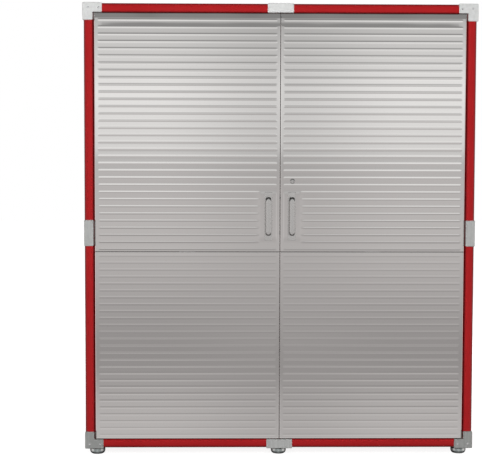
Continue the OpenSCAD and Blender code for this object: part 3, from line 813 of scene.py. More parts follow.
@dataclass
class FrontFrame:
    """The red tubes round the doors.

    Attributes:
        inner_r: Radius of a tube's front edge beside the doors.
        outer_r: Radius of its outer front edge.
        back_r: Radius of its rear edges.
        wall: Wall of the tube.
        hole_r: Radius of the hole that a sliding bolt enters.
        hole_half: Faces from the hole's middle to its border.
        border: Share of that radius past which a point lies on the border.
        bolt_r: Radius of the bolt.
        steps: Points on each of the section's corners.
    """

    inner_r: float = 10 * MM
    outer_r: float = 20 * MM
    back_r: float = 2 * MM
    wall: float = 1.5 * MM
    hole_r: float = 5 * MM
    hole_half: int = 2
    border: float = 0.9
    bolt_r: float = 4 * MM
    steps: int = 9

    def section(self, width: float, depth: float, hole: float) -> tuple[Array, Array]:
        """A tube's section: u runs outwards from the doors and v runs back from the face.

        Args:
            width: Width of the tube's face.
            depth: Depth of the tube.
            hole: Distance from the face to the middle of the bolt's hole, for the columns beside it.

        Returns:
            Points and outward normals, with the columns of the hole last.
        """
        corners = rectangle((0, 0), (width, depth))
        radii = [self.inner_r, self.outer_r, self.back_r, self.back_r]
        points, normals = rounded_outline(corners, radii, self.steps)
        across = self.beside_hole()[::-1] + hole
        side = np.stack([np.zeros_like(across), across], axis=-1)
        to_doors = np.tile([-1.0, 0.0], (len(across), 1))
        return np.concatenate([points, side]), np.concatenate([normals, to_doors])

    def beside_hole(self) -> Array:
        """Distances from the hole's middle of the rows, and of the columns, that cross it."""
        return np.linspace(-1, 1, 2 * self.hole_half + 1) * self.hole_r

    def tube(self, width: float, depth: float, stations: Array,
             hole: tuple[float, float] | None = None) -> Patch:
        """A tube along its length s: the section at every station, its inner side one wall in, and two rims.

        A hole leaves out the square of faces round it, and moves the points on their border to a circle.

        Args:
            width: Width of the tube's face.
            depth: Depth of the tube.
            stations: Places along the length.
            hole: Place of the hole's middle along the length, and its distance from the face.

        Returns:
            The tube, with points as (s, u, v).
        """
        points, normals = self.section(width, depth, hole[1] if hole else depth / 2)
        if hole:
            stations = np.sort(np.concatenate([stations, hole[0] + self.beside_hole()]))
        skins = []
        for inset in (0.0, self.wall):
            flat = points - inset * normals
            grid = np.broadcast_to(flat, (len(stations), *flat.shape))
            along = np.broadcast_to(stations[:, None, None], (*grid.shape[:2], 1))
            skins.append(np.concatenate([along, grid], axis=-1))
        outer, inner = skins
        rows, columns = outer.shape[:2]
        rims = [lattice(np.stack([outer[end], inner[end]]), around=True) for end in (0, -1)]
        if not hole:
            return join(*(lattice(skin, around=True) for skin in skins), *rims).welded()
        row = int(np.argmin(np.abs(stations - hole[0])))
        half = self.hole_half
        column = columns - 1 - half
        near = np.s_[row - half : row + half + 1, column - half : column + half + 1]
        for skin in skins:
            offset = skin[near][..., ::2] - np.array(hole)
            border = np.abs(offset).max(axis=-1, keepdims=True) > self.hole_r * self.border
            skin[near][..., ::2] = np.array(hole) + np.where(border, unit(offset) * self.hole_r, offset / 2)
        keep = np.ones((rows - 1, columns), bool)
        keep[row - half : row + half, column - half : column + half] = False
        walls = [lattice(skin, around=True) for skin in skins]
        for wall in walls:
            wall.quads = wall.quads[keep.reshape(-1)]
        ring = [skin[near][edge] for skin in skins for edge in (0, -1)]
        ring += [skin[near][:, edge] for skin in skins for edge in (0, -1)]
        sides = [lattice(np.stack([ring[i], ring[j]])) for i, j in ((0, 2), (1, 3), (4, 6), (5, 7))]
        return join(*walls, *rims, *sides).welded()

    def level(self, side: Side, end: End) -> None:
        """Builds one half of the top or bottom rail.

        Args:
            side: The half's side.
            end: Top or bottom.
        """
        node = f"{end.edge}_rail_{side.word}"
        low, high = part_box(node)
        hole = None
        if side is Side.LEFT:
            bolt_low, bolt_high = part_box(f"left_bolt_{end.edge}")
            hole = ((bolt_low.x + bolt_high.x) / 2, bolt_low.y + self.bolt_r - low.y)
        tube = self.tube(high.z - low.z, high.y - low.y, np.array([low.x, high.x]), hole)
        start = low.z if end is End.UPPER else high.z

        def put(points: Array) -> Array:
            """Lays the tube along x, with its u axis away from the doors."""
            return np.stack([points[:, 0], low.y + points[:, 2], start + end.value * points[:, 1]], axis=-1)

        make_piece(f"{end.edge}_tube_{side.word}", tube.changed(put), Finishes.RED, CARCASS, [node])

    def upright(self, side: Side, end: End) -> None:
        """Builds one half of a stile.

        Args:
            side: The stile's side.
            end: The upper or the lower half.
        """
        node = f"{side.word}_stile_{end.word}"
        low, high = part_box(node)
        tube = self.tube(high.x - low.x, high.y - low.y, np.array([low.z, high.z]))
        start = low.x if side is Side.RIGHT else high.x

        def put(points: Array) -> Array:
            """Stands the tube up, with its u axis away from the doors."""
            return np.stack([start + side.value * points[:, 1], low.y + points[:, 2], points[:, 0]], axis=-1)

        make_piece(f"{side.word}_upright_{end.word}", tube.changed(put), Finishes.RED, CARCASS, [node])

    def build(self) -> None:
        """Builds all eight tubes."""
        for side in Side:
            for end in End:
                self.level(side, end)
                self.upright(side, end)


@dataclass
class Screws:
    """Pan-head screws with a cross recess, on the caps and the back.

    Attributes:
        head_r: Radius of a head.
        head_h: Height of a head.
        shank_r: Radius of a shank.
        shank: Length of a shank.
        cross: Half width and half length of the recess's arms.
        soft: How far the recess's walls slope beside its arms and at their ends.
        rings: Radii of the head's rows, as shares of its own.
        dome: How far the dome falls towards its rim, as a share of the head's height.
        recess: Depth of the recess, as such a share.
        steps: Angles round a screw.
    """

    head_r: float = 4.5 * MM
    head_h: float = 2.5 * MM
    shank_r: float = 2 * MM
    shank: float = 8 * MM
    cross: tuple[float, float] = (0.45 * MM, 1.9 * MM)
    soft: tuple[float, float] = (0.5 * MM, 0.3 * MM)
    rings: tuple[float, ...] = (0.0, 0.12, 0.22, 0.34, 0.45, 0.56, 0.75, 0.9, 0.98, 1.0)
    dome: float = 0.45
    recess: float = 0.35
    steps: int = 24

    def form(self) -> Patch:
        """One screw on +Z with its seat at zero: a dome h(1 - d(r/R)^4) less a cross-shaped recess.

        Returns:
            The closed screw.
        """
        angle = np.linspace(0, 2 * np.pi, self.steps, endpoint=False)
        around = np.stack([np.cos(angle), np.sin(angle)])[:, None]
        ring = self.head_r * np.array(self.rings)[:, None]
        spot = ring * around
        narrow, wide = np.abs(spot).min(axis=0), np.abs(spot).max(axis=0)
        (arm, length), (soft_side, soft_end) = self.cross, self.soft
        recess = smooth(arm + soft_side, arm, narrow) * smooth(length + soft_end, length, wide)
        dome = self.head_h * (1 - self.dome * (ring / self.head_r) ** 4)
        top = np.stack([*spot, dome - self.recess * self.head_h * recess], axis=-1)
        radius = np.array([self.head_r, self.shank_r, self.shank_r, 0.0])[:, None]
        level = np.array([0.0, 0.0, -self.shank, -self.shank - self.shank_r])[:, None]
        rest = np.stack([*(radius * around), np.broadcast_to(level, (len(level), self.steps))], axis=-1)
        return lattice(np.concatenate([top, rest]), around=True).welded()


@dataclass
class CornerFittings:
    """Silver corner caps and clips over the frame's joints, and the panel screws.

    Attributes:
        arm: Width of a cap's arms, before its outer faces are drawn in.
        drawn: How far the lower and the upper caps' outer faces are drawn in, across and upright.
        corner_r: Radius of the outline's corners.
        inner_r: Radius of the inside corner between a cap's arms.
        edge_r: Radius of the front edges.
        clip_len: Length of a clip.
        clip_out: How far a clip stands out in front of its rail.
        clip_over: How far it reaches past the rail's outer side.
        clip_in: How far a clip stays from its rail's inner edge.
        clip_deep: Depth of a clip at its outer side and at its inner side, where bolts pass behind it.
        screw_in: Distance of a cap's outer screw from the end of its arm.
        back_in: Distance of the back's outer screws from the edge.
        back_mid: Distance of its inner screws from the middle.
        back_end: Distance of the end screws from the top and bottom.
        back_edge: Distance of the edge screws from the top and bottom.
        back_rows: Screws in a column.
        steps: Points on each corner of an outline.
    """

    arm: float = 43.5 * MM
    drawn: tuple[tuple[float, float], tuple[float, float]] = ((3.4 * MM, 3.4 * MM), (0.0, 2.4 * MM))
    corner_r: float = 4.5 * MM
    inner_r: float = 1.5 * MM
    edge_r: float = 2.6 * MM
    clip_len: float = 112 * MM
    clip_out: float = 2.5 * MM
    clip_over: float = 0.8 * MM
    clip_in: float = 0.6 * MM
    clip_deep: tuple[float, float] = (34.5 * MM, 9 * MM)
    screw_in: float = 14 * MM
    back_in: float = 14 * MM
    back_mid: float = 6 * MM
    back_end: float = 110 * MM
    back_edge: float = 14 * MM
    back_rows: int = 6
    steps: int = 8

    def cap(self, side: Side, end: End) -> None:
        """Builds one corner cap: an L with round corners, drawn inwards from its outer corner.

        Args:
            side: The cap's side.
            end: Top or bottom.
        """
        node = f"corner_cap_{end.edge}_{side.word}"
        low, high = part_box(node)
        less_x, less_z = self.drawn[end is End.UPPER]
        wide, tall = high.x - low.x - less_x, high.z - low.z - less_z
        arm_x, arm_z = self.arm - less_x, self.arm - less_z
        corners = [(0, 0), (wide, 0), (wide, arm_z), (arm_x, arm_z), (arm_x, tall), (0, tall)]
        radii = [self.corner_r] * 3 + [self.inner_r] + [self.corner_r] * 2
        form = block(rounded_outline(corners, radii, self.steps), high.y - low.y, self.edge_r)
        corner_x = (high.x if side is Side.RIGHT else low.x) - side.value * less_x
        corner_z = (high.z if end is End.UPPER else low.z) - end.value * less_z

        def put(points: Array) -> Array:
            """Turns the L into its corner."""
            x = corner_x - side.value * points[:, 0]
            return np.stack([x, low.y + points[:, 1], corner_z - end.value * points[:, 2]], axis=-1)

        make_piece(f"cap_{end.edge}_{side.word}", form.changed(put), Finishes.SILVER, CARCASS, [node])

    def clips(self) -> None:
        """Builds the four clips as one piece: round-cornered blocks whose back slants between two depths."""
        low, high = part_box("right_stile_upper")
        top_low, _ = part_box("top_rail_right")
        _, bottom_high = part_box("bottom_rail_right")
        reach = high.x - low.x + self.clip_over - self.clip_in
        half, (deep, shallow) = self.clip_len / 2, self.clip_deep
        corners = rectangle((-half, 0), (half, reach))
        form = block(rounded_outline(corners, [self.corner_r] * 4, self.steps), deep, self.edge_r)
        along, back, out = form.points.T
        y = low.y - self.clip_out + np.minimum(back, shallow + (deep - shallow) * out / reach)
        inner_x, stile_z = low.x + self.clip_in, low.z
        places = [
            (along, y, top_low.z + self.clip_in + out), (along, y, bottom_high.z - self.clip_in - out),
            (inner_x + out, y, stile_z + along), (-inner_x - out, y, stile_z + along),
        ]
        forms = [Patch(np.stack(place, axis=-1), form.quads, form.caps) for place in places]
        make_piece("frame_clips", join(*forms), Finishes.SILVER, CARCASS, ["rail_clips"])

    def screws(self) -> None:
        """Builds every panel screw as one piece."""
        form = Screws().form()
        rear_form = form.changed(lambda points: points * np.array([1, 1, -1]))
        low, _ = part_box("corner_cap_top_right")
        rail_low, rail_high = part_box("top_rail_right")
        floor_rail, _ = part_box("bottom_rail_right")
        _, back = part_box("back_panel_right")
        rail = rail_high.z - rail_low.z
        half_w = back.x
        forms = []
        for side in Side:
            heights = (rail_high.z - rail / 2, floor_rail.z + rail / 2)
            spots = [(x, z) for z in heights for x in (half_w - rail / 2, low.x + self.screw_in)]
            forms += [form.changed(facing_front(side.value * x, low.y, z)) for x, z in spots]
            rear = np.linspace(floor_rail.z + self.back_end, rail_high.z - self.back_end, self.back_rows)
            spots = [(x, z) for x in (half_w - self.back_in, self.back_mid) for z in rear]
            spots += [(half_w / 2, z) for z in (floor_rail.z + self.back_edge, rail_high.z - self.back_edge)]
            forms += [rear_form.changed(facing_front(side.value * x, back.y, z)) for x, z in spots]
        make_piece("cross_head_screws", join(*forms), Finishes.ZINC, CARCASS, ["panel_screws"])

    def build(self) -> None:
        """Builds the caps, clips and screws."""
        for side in Side:
            for end in End:
                self.cap(side, end)
        self.clips()
        self.screws()


# Doors

# Columns of a skin by their distance from the seam, close at the seam's edge and at the handle's field
NEAR_SEAM = MM * np.concatenate(
    [np.arange(2.5, 20, 2.5), np.arange(24, 58, 8), np.arange(60, 96, 4), [104, 128]])
# Columns by their distance from the hinge edge, close where the ribs die out
NEAR_HINGE = MM * np.array([34, 29, 25, 22, 19.5, 17.5, 15.5, 13, 10])


@dataclass
class Skin:
    """A ribbed front skin of a door, drawn for the right and put on its side.

    Its level section runs from the hinge side's back edge, round the rolled edge, across the front and round
    the seam's edge. Each row is set back by what shapes the skin's ends, and stands out by the ribs.

    Attributes:
        side: The door's side.
        end: The upper or the lower skin.
        wall: Thickness of the sheet.
        wrap: How far the sheet is wrapped round the door's hinge edge, and round its top or bottom.
        roll: Tilts of the rolled edge at the hinge, in degrees, by the distance from where it begins.
        roll_steps: Points on the rolled edge.
        seam_r: Radius of the edge at the seam.
        seam_fall: How far the sheet falls back at the seam.
        seam_reach: Distance over which it does.
        joint_r: Radius of the edge where the two skins meet.
        joint_lip: Depth to which that edge is turned in.
        ends: Distances of the first and the last rib from the lower and the upper edge, for both skins.
        pitch: Distance from rib to rib.
        rib_up: Width of a rib's upper flank.
        rib_down: Width of its lower flank.
        rib_h: Height of a rib on the lower and the upper skin.
        fade: Distance over which a rib's end dies out.
        rib_end: Distance of the ribs' ends from the seam and from the hinge edge.
        field_w: Width of the plain field for the handle, from the seam.
        field_h: Height of that field.
        field_lip: Distance of the field's raised border from the seam.
        field_out: How far the field is raised.
        field_soft: Widths of the field's border at the seam, on its far side, and above and below.
        lean: Slope of the band above the top rib, which leans back.
        buckle: Slope and height of a band above the second rib that leans back too.
        buckle_end: Distances from the hinge edge between which that band sets in.
        wave: Share by which those slopes vary along the door.
        waves: How fast they do, in radians per metre.
        tip_r: Radius of the door's top or bottom edge.
        notch: Half width of the notch for a sliding bolt, and the room between its end and the bolt.
        notch_side: Where the notch's sides end, as a share of that half width.
        seam_steps: Points on the seam's edge.
        middle: The middle's first and last column, from the seam and the hinge edge, and how many it has.
        rib_rows: Rows on a rib's lower flank, on its upper flank and between two ribs, with both ends.
        end_rows: Rows below the first rib and above the last one, with both ends.
        row_gap: Least distance of a row from the rounds at the skin's ends.
    """

    side: Side
    end: End
    wall: float = 0.8 * MM
    wrap: tuple[float, float] = (1.2 * MM, 2 * MM)
    roll: tuple[tuple[float, float], ...] = ((0.0, 0), (1.2 * MM, 30), (6.2 * MM, 42), (7.4 * MM, 75))
    roll_steps: int = 16
    seam_r: float = 0.9 * MM
    seam_fall: float = 0.12 * MM
    seam_reach: float = 11 * MM
    joint_r: float = 1.6 * MM
    joint_lip: float = 5 * MM
    ends: tuple[tuple[float, float], tuple[float, float]] = ((17.5 * MM, 15.5 * MM), (11.8 * MM, 28.7 * MM))
    pitch: float = 30.2 * MM
    rib_up: float = 7.5 * MM
    rib_down: float = 7 * MM
    rib_h: tuple[float, float] = (0.08 * MM, 0.19 * MM)
    fade: float = 8 * MM
    rib_end: tuple[float, float] = (14 * MM, 20.5 * MM)
    field_w: float = 90 * MM
    field_h: float = 232 * MM
    field_lip: float = 14 * MM
    field_out: float = 0.3 * MM
    field_soft: tuple[float, float, float] = (3 * MM, 24 * MM, 30 * MM)
    lean: float = 0.08
    buckle: tuple[float, float] = (0.035, 13 * MM)
    buckle_end: tuple[float, float] = (20 * MM, 70 * MM)
    wave: float = 0.3
    waves: tuple[float, float] = (21.0, 8.3)
    tip_r: float = 2.5 * MM
    notch: tuple[float, float] = (5 * MM, 1 * MM)
    notch_side: float = 1.08
    seam_steps: int = 5
    middle: tuple[float, float, int] = (160 * MM, 40 * MM, 16)
    rib_rows: tuple[int, int, int] = (8, 7, 4)
    end_rows: tuple[int, int] = (4, 8)
    row_gap: float = 0.2 * MM

    def __post_init__(self) -> None:
        """Reads the skin's place from its CAD node."""
        self.node = f"{self.side.word}_door_skin_{self.end.word}"
        low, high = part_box(self.node)
        plate_low, plate_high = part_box(f"{self.side.word}_handle_plate")
        self.upper = self.end is End.UPPER
        self.face_y = plate_high.y
        self.depth = high.y - self.face_y
        self.x0, self.x1 = sorted((abs(low.x), abs(high.x)))
        self.x1 += self.wrap[0]
        self.z0 = low.z - (0 if self.upper else self.wrap[1])
        self.z1 = high.z + (self.wrap[1] if self.upper else 0)
        self.field_z = (plate_low.z + plate_high.z) / 2
        bolt_low, bolt_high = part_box(f"left_bolt_{self.end.edge}")
        self.bolt_x = abs(bolt_low.x + bolt_high.x) / 2
        self.bolt_back = bolt_low.y - self.face_y

    def columns(self) -> tuple[Array, Array, Array]:
        """The level section: the rolled edge at the hinge, the front, and a quarter round at the seam.

        The rolled edge falls back by the tangent of its tilt, summed over the distance.

        Returns:
            Places across the door, their depth behind the face, and which of them are the front.
        """
        starts, tilts = np.array(self.roll).T
        reach = np.interp(np.linspace(0, len(starts) - 1, self.roll_steps), np.arange(len(starts)), starts)
        slope = np.tan(np.radians(np.interp(reach, starts, tilts)))
        fall = np.concatenate([[0], np.cumsum(np.diff(reach) * (slope[1:] + slope[:-1]) / 2)])
        roll_x, roll_y = (self.x1 - starts[-1] + reach)[::-1], fall[::-1]
        seam_x, seam_y = quarter_round(self.seam_r, self.seam_steps)
        first_in, last_in, count = self.middle
        middle = np.linspace(self.x0 + first_in, self.x1 - last_in, count)
        beside_bolt = self.bolt_x + np.array([-self.notch_side, -1, 1, self.notch_side]) * self.notch[0]
        flat = np.sort(np.concatenate([self.x0 + NEAR_SEAM, beside_bolt, middle]))
        front = np.concatenate([self.x1 - NEAR_HINGE[::-1], flat[::-1]])
        x = np.concatenate([[self.x1], roll_x, front, self.x0 + seam_x, [self.x0]])
        y = np.concatenate([[self.depth], roll_y, np.zeros(len(front)), seam_y, [self.depth]])
        y = y + self.seam_fall * np.clip(1 - (x - self.x0) / self.seam_reach, 0, 1) ** 2
        return x, np.minimum(y, self.depth), np.isin(x, front)

    def ribs(self) -> Array:
        """Heights of the ribs' crests, evenly from the first to the last.

        Returns:
            The heights, from the bottom to the top.
        """
        first_in, last_in = self.ends[self.upper]
        first, last = self.z0 + first_in, self.z1 - last_in
        return np.linspace(first, last, round((last - first) / self.pitch) + 1)

    def rows(self, ribs: Array) -> tuple[Array, Array]:
        """The skin's rows: their heights, and how far each is set back.

        Both ends turn in by a quarter round.

        Args:
            ribs: Heights of the ribs' crests.

        Returns:
            Heights and set-backs, from the bottom to the top.
        """
        low_r, high_r = (self.joint_r, self.tip_r) if self.upper else (self.tip_r, self.joint_r)
        low_lip, high_lip = (self.joint_lip, self.depth) if self.upper else (self.depth, self.joint_lip)
        (under, over, between), (first, last) = self.rib_rows, self.end_rows
        offsets = np.concatenate([
            np.linspace(-self.rib_down, 0, under), np.linspace(0, self.rib_up, over)[1:],
            np.linspace(self.rib_up, self.pitch - self.rib_down, between)[1:-1]])
        body = (ribs[:, None] + offsets).reshape(-1)
        body = np.concatenate([np.linspace(self.z0 + low_r, ribs[0] - self.rib_down, first)[1:-1], body,
                               np.linspace(ribs[-1] + self.rib_up, self.z1 - high_r, last)[1:-1]])
        inside = (body > self.z0 + low_r + self.row_gap) & (body < self.z1 - high_r - self.row_gap)
        body = np.unique(np.round(body[inside], 6))
        low_in, low_back = quarter_round(low_r)
        high_in, high_back = quarter_round(high_r)
        z = np.concatenate([[self.z0], self.z0 + low_in[::-1], body, self.z1 - high_in, [self.z1]])
        back = np.concatenate([[low_lip], low_back[::-1], np.zeros(len(body)), high_back, [high_lip]])
        return z, back

    def relief(self, x: Array, z: Array, ribs: Array) -> Array:
        """How far the front stands out at a distance d from the nearest crest.

        A rib of height h is h(1 - d / w)^2 on its upper flank, which is hollow and steepest at the crest, and
        h(1 + cos(pi d / w)) / 2 on its lower one, where w is the flank's width. It dies out at both ends. The
        handle's field is raised, with a soft border.

        Args:
            x: Places across the door, as one row.
            z: Heights, as one column.
            ribs: Heights of the ribs' crests.

        Returns:
            The relief, rows by columns.
        """
        nearest = np.abs(z - ribs[None]).argmin(axis=1)
        away = z - ribs[nearest][:, None]
        over, under = np.clip(away / self.rib_up, 0, 1), np.clip(-away / self.rib_down, 0, 1)
        crest = np.where(away > 0, (1 - over) ** 2, (1 + np.cos(np.pi * under)) / 2)
        beside = np.abs(ribs[nearest] - self.field_z)[:, None] < self.field_h / 2
        start = np.where(beside & self.upper, self.field_w, self.rib_end[0]) + self.x0
        from_start, to_end = (x - start) / self.fade, (self.x1 - self.rib_end[1] - x) / self.fade
        along = smooth(-0.5, 0.5, from_start) * smooth(-0.5, 0.5, to_end)
        relief = self.rib_h[self.upper] * crest * along
        if self.upper:
            reach = self.field_h / 2
            near, far, level = self.field_soft
            tall = smooth(reach, reach - level, np.abs(z - self.field_z))
            wide = smooth(self.field_lip - near / 2, self.field_lip + near / 2, x - self.x0)
            wide = wide * smooth(self.field_w + far / 2, self.field_w - far / 2, x - self.x0)
            relief = relief + self.field_out * tall * wide
        return relief

    def leaning(self, x: Array, z: Array, ribs: Array) -> Array:
        """How far the top leans back: a slope above the top rib, and one on a band above the second rib.

        Both slopes vary along the door as 1 + w sin(ax + s) sin(bx), because thin sheet buckles there.

        Args:
            x: Places across the door, as one row.
            z: Heights, as one column.
            ribs: Heights of the ribs' crests.

        Returns:
            The set-back, rows by columns.
        """
        wave = 1 + self.wave * np.sin(x * self.waves[0] + self.side.value) * np.sin(x * self.waves[1])
        slope, tall = self.buckle
        ends = smooth(self.x1 - self.buckle_end[0], self.x1 - self.buckle_end[1], x)
        band = slope * np.clip(z - ribs[-2] - self.rib_up / 2, 0, tall) * ends
        return (self.lean * np.clip(z - ribs[-1] - self.rib_up, 0, None) + band) * wave

    def build(self) -> None:
        """Builds the skin."""
        section_x, section_y, front = self.columns()
        ribs = self.ribs()
        z, back = self.rows(ribs)
        x, height = section_x[None], z[:, None]
        set_back = np.broadcast_to(back[:, None], (len(z), len(section_x)))
        if self.upper:
            set_back = set_back + self.leaning(x, height, ribs)
        set_back = np.minimum(set_back, self.depth)
        if self.side is Side.LEFT:
            lip = -1 if self.upper else 0
            by_bolt = np.abs(section_x - self.bolt_x) < (1 + self.notch_side) / 2 * self.notch[0]
            set_back[lip] = np.where(by_bolt, self.bolt_back - self.notch[1], set_back[lip])
        flat = np.minimum(section_y + set_back - self.relief(x, height, ribs), self.depth)
        y = np.where(front, flat, np.maximum(section_y, set_back))
        grid = np.stack(np.broadcast_arrays(x, self.face_y + y, height), axis=-1)
        form = sheet(grid, self.wall).changed(on_side(self.side))
        name = f"ribbed_skin_{self.side.word}_{self.end.word}"
        make_piece(name, form, Finishes.DOOR, self.side.door, [self.node])


@dataclass
class Stiffener:
    """The upright channel inside a door, whose upper end is set back behind the skin's leaning top.

    Attributes:
        side: The door's side.
        wall: Thickness of the sheet.
        tip: Height of the end that is set back.
        nose: How far it is.
    """

    side: Side
    wall: float = 0.8 * MM
    tip: float = 40 * MM
    nose: float = 3.5 * MM

    def build(self) -> None:
        """Builds the channel: a leg, the web behind the skin and a leg, at four heights."""
        node = f"{self.side.word}_door_stiffener"
        low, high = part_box(node)
        near, far = sorted((abs(low.x), abs(high.x)))
        web = low.y + np.array([0.0, 0.0, self.nose, self.nose])
        leg = np.full_like(web, high.y)
        z = np.array([low.z, high.z - self.tip, high.z - self.tip / 2, high.z])
        section = [(near, leg), (near, web), (far, web), (far, leg)]
        grid = np.stack([np.stack([np.full_like(z, x), y, z], axis=-1) for x, y in section], axis=1)
        form = sheet(grid, self.wall).changed(on_side(self.side))
        make_piece(f"channel_{self.side.word}", form, Finishes.ZINC, self.side.door, [node])


@dataclass
class Handle:
    """A bow handle on its plate.

    Attributes:
        side: The door's side.
        bar: Thickness of the bar.
        foot: Thickness of its two feet.
        bend_r: Outer radius of the bends.
        bow_r: Radius of the bar's own slight bow before a bend.
        bow_turn: How far the bar turns on it.
        edge_r: Radius of the bar's edges.
        tip_r: Outer radius of the feet's corners, seen from the front.
        tip_h: Distances from the bow's ends at which its corners begin to grow rounder and have done so.
        plate_r: Radius of the plate's corners.
        plate_edge: Radius of the plate's front edge.
        plate_steps: Points on each corner of the plate.
        edge_steps: Points on each corner of the bar's section.
        bend_steps: Sections on a bend, and on the bar's own bow beside it.
        leg_steps: Sections on a foot.
        bar_steps: Sections from the bow to where the corners are round no more, and from there to the middle.
    """

    side: Side
    bar: float = 8 * MM
    foot: float = 13 * MM
    bend_r: float = 8.8 * MM
    bow_r: float = 183 * MM
    bow_turn: float = math.radians(2.5)
    edge_r: float = 1.4 * MM
    tip_r: float = 10.5 * MM
    tip_h: tuple[float, float] = (19 * MM, 4 * MM)
    plate_r: float = 5 * MM
    plate_edge: float = 0.8 * MM
    plate_steps: int = 7
    edge_steps: int = 8
    bend_steps: tuple[int, int] = (12, 6)
    leg_steps: int = 5
    bar_steps: tuple[int, int] = (6, 8)

    def bow(self) -> None:
        """Builds the bow: a soft rectangle carried along a U of two feet, two bends and the bar.

        The section lies inside the U's outer line, whose bends are quarter rounds. From the bar to the feet
        its outer corners grow rounder, and a foot grows stouter towards its plate.
        """
        node = f"{self.side.word}_handle"
        low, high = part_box(node)
        half_w = (high.x - low.x) / 2
        reach = (high.z - low.z) / 2
        out = high.y - low.y
        bar_turn = np.pi / 2 - self.bow_turn
        bends, bows = self.bend_steps
        turn = np.concatenate([np.linspace(0, bar_turn, bends), np.linspace(bar_turn, np.pi / 2, bows)[1:]])
        radius = np.where(np.arange(1, len(turn)) < bends, self.bend_r, self.bow_r)
        fall = np.concatenate([[0], np.cumsum(radius * -np.diff(np.cos(turn)))])
        rise = np.concatenate([[0], np.cumsum(radius * np.diff(np.sin(turn)))])
        leg = np.linspace(0, out - rise[-1], self.leg_steps + 1)[:-1]
        tip_end, tip_whole = self.tip_h
        tip_z = reach - tip_end
        to_tip, to_middle = self.bar_steps
        bar = np.concatenate([np.linspace(reach - fall[-1], tip_z, to_tip + 1)[1:],
                              np.linspace(tip_z, 0, to_middle + 1)[1:]])
        edge_z = np.concatenate([np.full(len(leg), reach), reach - fall, bar])
        edge_y = np.concatenate([leg, out - rise[-1] + rise, np.full(len(bar), out)])
        normal_z = np.concatenate([np.ones(len(leg)), np.cos(turn), np.zeros(len(bar))])
        normal_y = np.concatenate([np.zeros(len(leg)), np.sin(turn), np.ones(len(bar))])
        grown = np.concatenate([smooth(leg[-1], 0, leg), np.zeros(len(turn) + len(bar))])
        round_off = smooth(tip_end, tip_whole, reach - edge_z)
        thick = self.bar + (self.foot - self.bar) * grown
        edge_z = np.concatenate([edge_z, -edge_z[-2::-1]])
        normal_z = np.concatenate([normal_z, -normal_z[-2::-1]])
        edge_y, normal_y, thick, round_off = (
            np.concatenate([part, part[-2::-1]]) for part in (edge_y, normal_y, thick, round_off))
        corners = rectangle((-half_w, -0.5), (half_w, 0.5))
        slim_r, stout_r = [self.edge_r] * 4, [self.edge_r] * 2 + [self.tip_r] * 2
        slim, _ = rounded_outline([(x, y * self.bar) for x, y in corners], slim_r, self.edge_steps)
        stout, _ = rounded_outline([(x, y * self.foot) for x, y in corners], stout_r, self.edge_steps)
        share = round_off[:, None]
        section_x = slim[:, 0] + share * (stout[:, 0] - slim[:, 0])
        section_y = slim[:, 1] / self.bar + share * (stout[:, 1] / self.foot - slim[:, 1] / self.bar)
        inward = (0.5 - section_y) * thick[:, None]
        y = edge_y[:, None] - inward * normal_y[:, None]
        z = edge_z[:, None] - inward * normal_z[:, None]
        middle = ((low.x + high.x) / 2, high.y, (low.z + high.z) / 2)
        grid = np.stack([section_x, -np.clip(y, 0, None), z], axis=-1)
        form = lattice(grid, around=True, first=True, last=True).welded().changed(moved(*middle))
        make_piece(f"bow_handle_{self.side.word}", form, Finishes.HANDLE, self.side.door, [node])

    def plate(self) -> None:
        """Builds the plate under the bow."""
        node = f"{self.side.word}_handle_plate"
        low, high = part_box(node)
        corners = rectangle((low.x, low.z), (high.x, high.z))
        outline = rounded_outline(corners, [self.plate_r] * 4, self.plate_steps)
        form = block(outline, high.y - low.y, self.plate_edge).changed(moved(0, low.y, 0))
        make_piece(f"handle_plate_{self.side.word}", form, Finishes.HANDLE, self.side.door, [node])

    def build(self) -> None:
        """Builds the plate and the bow."""
        self.plate()
        self.bow()


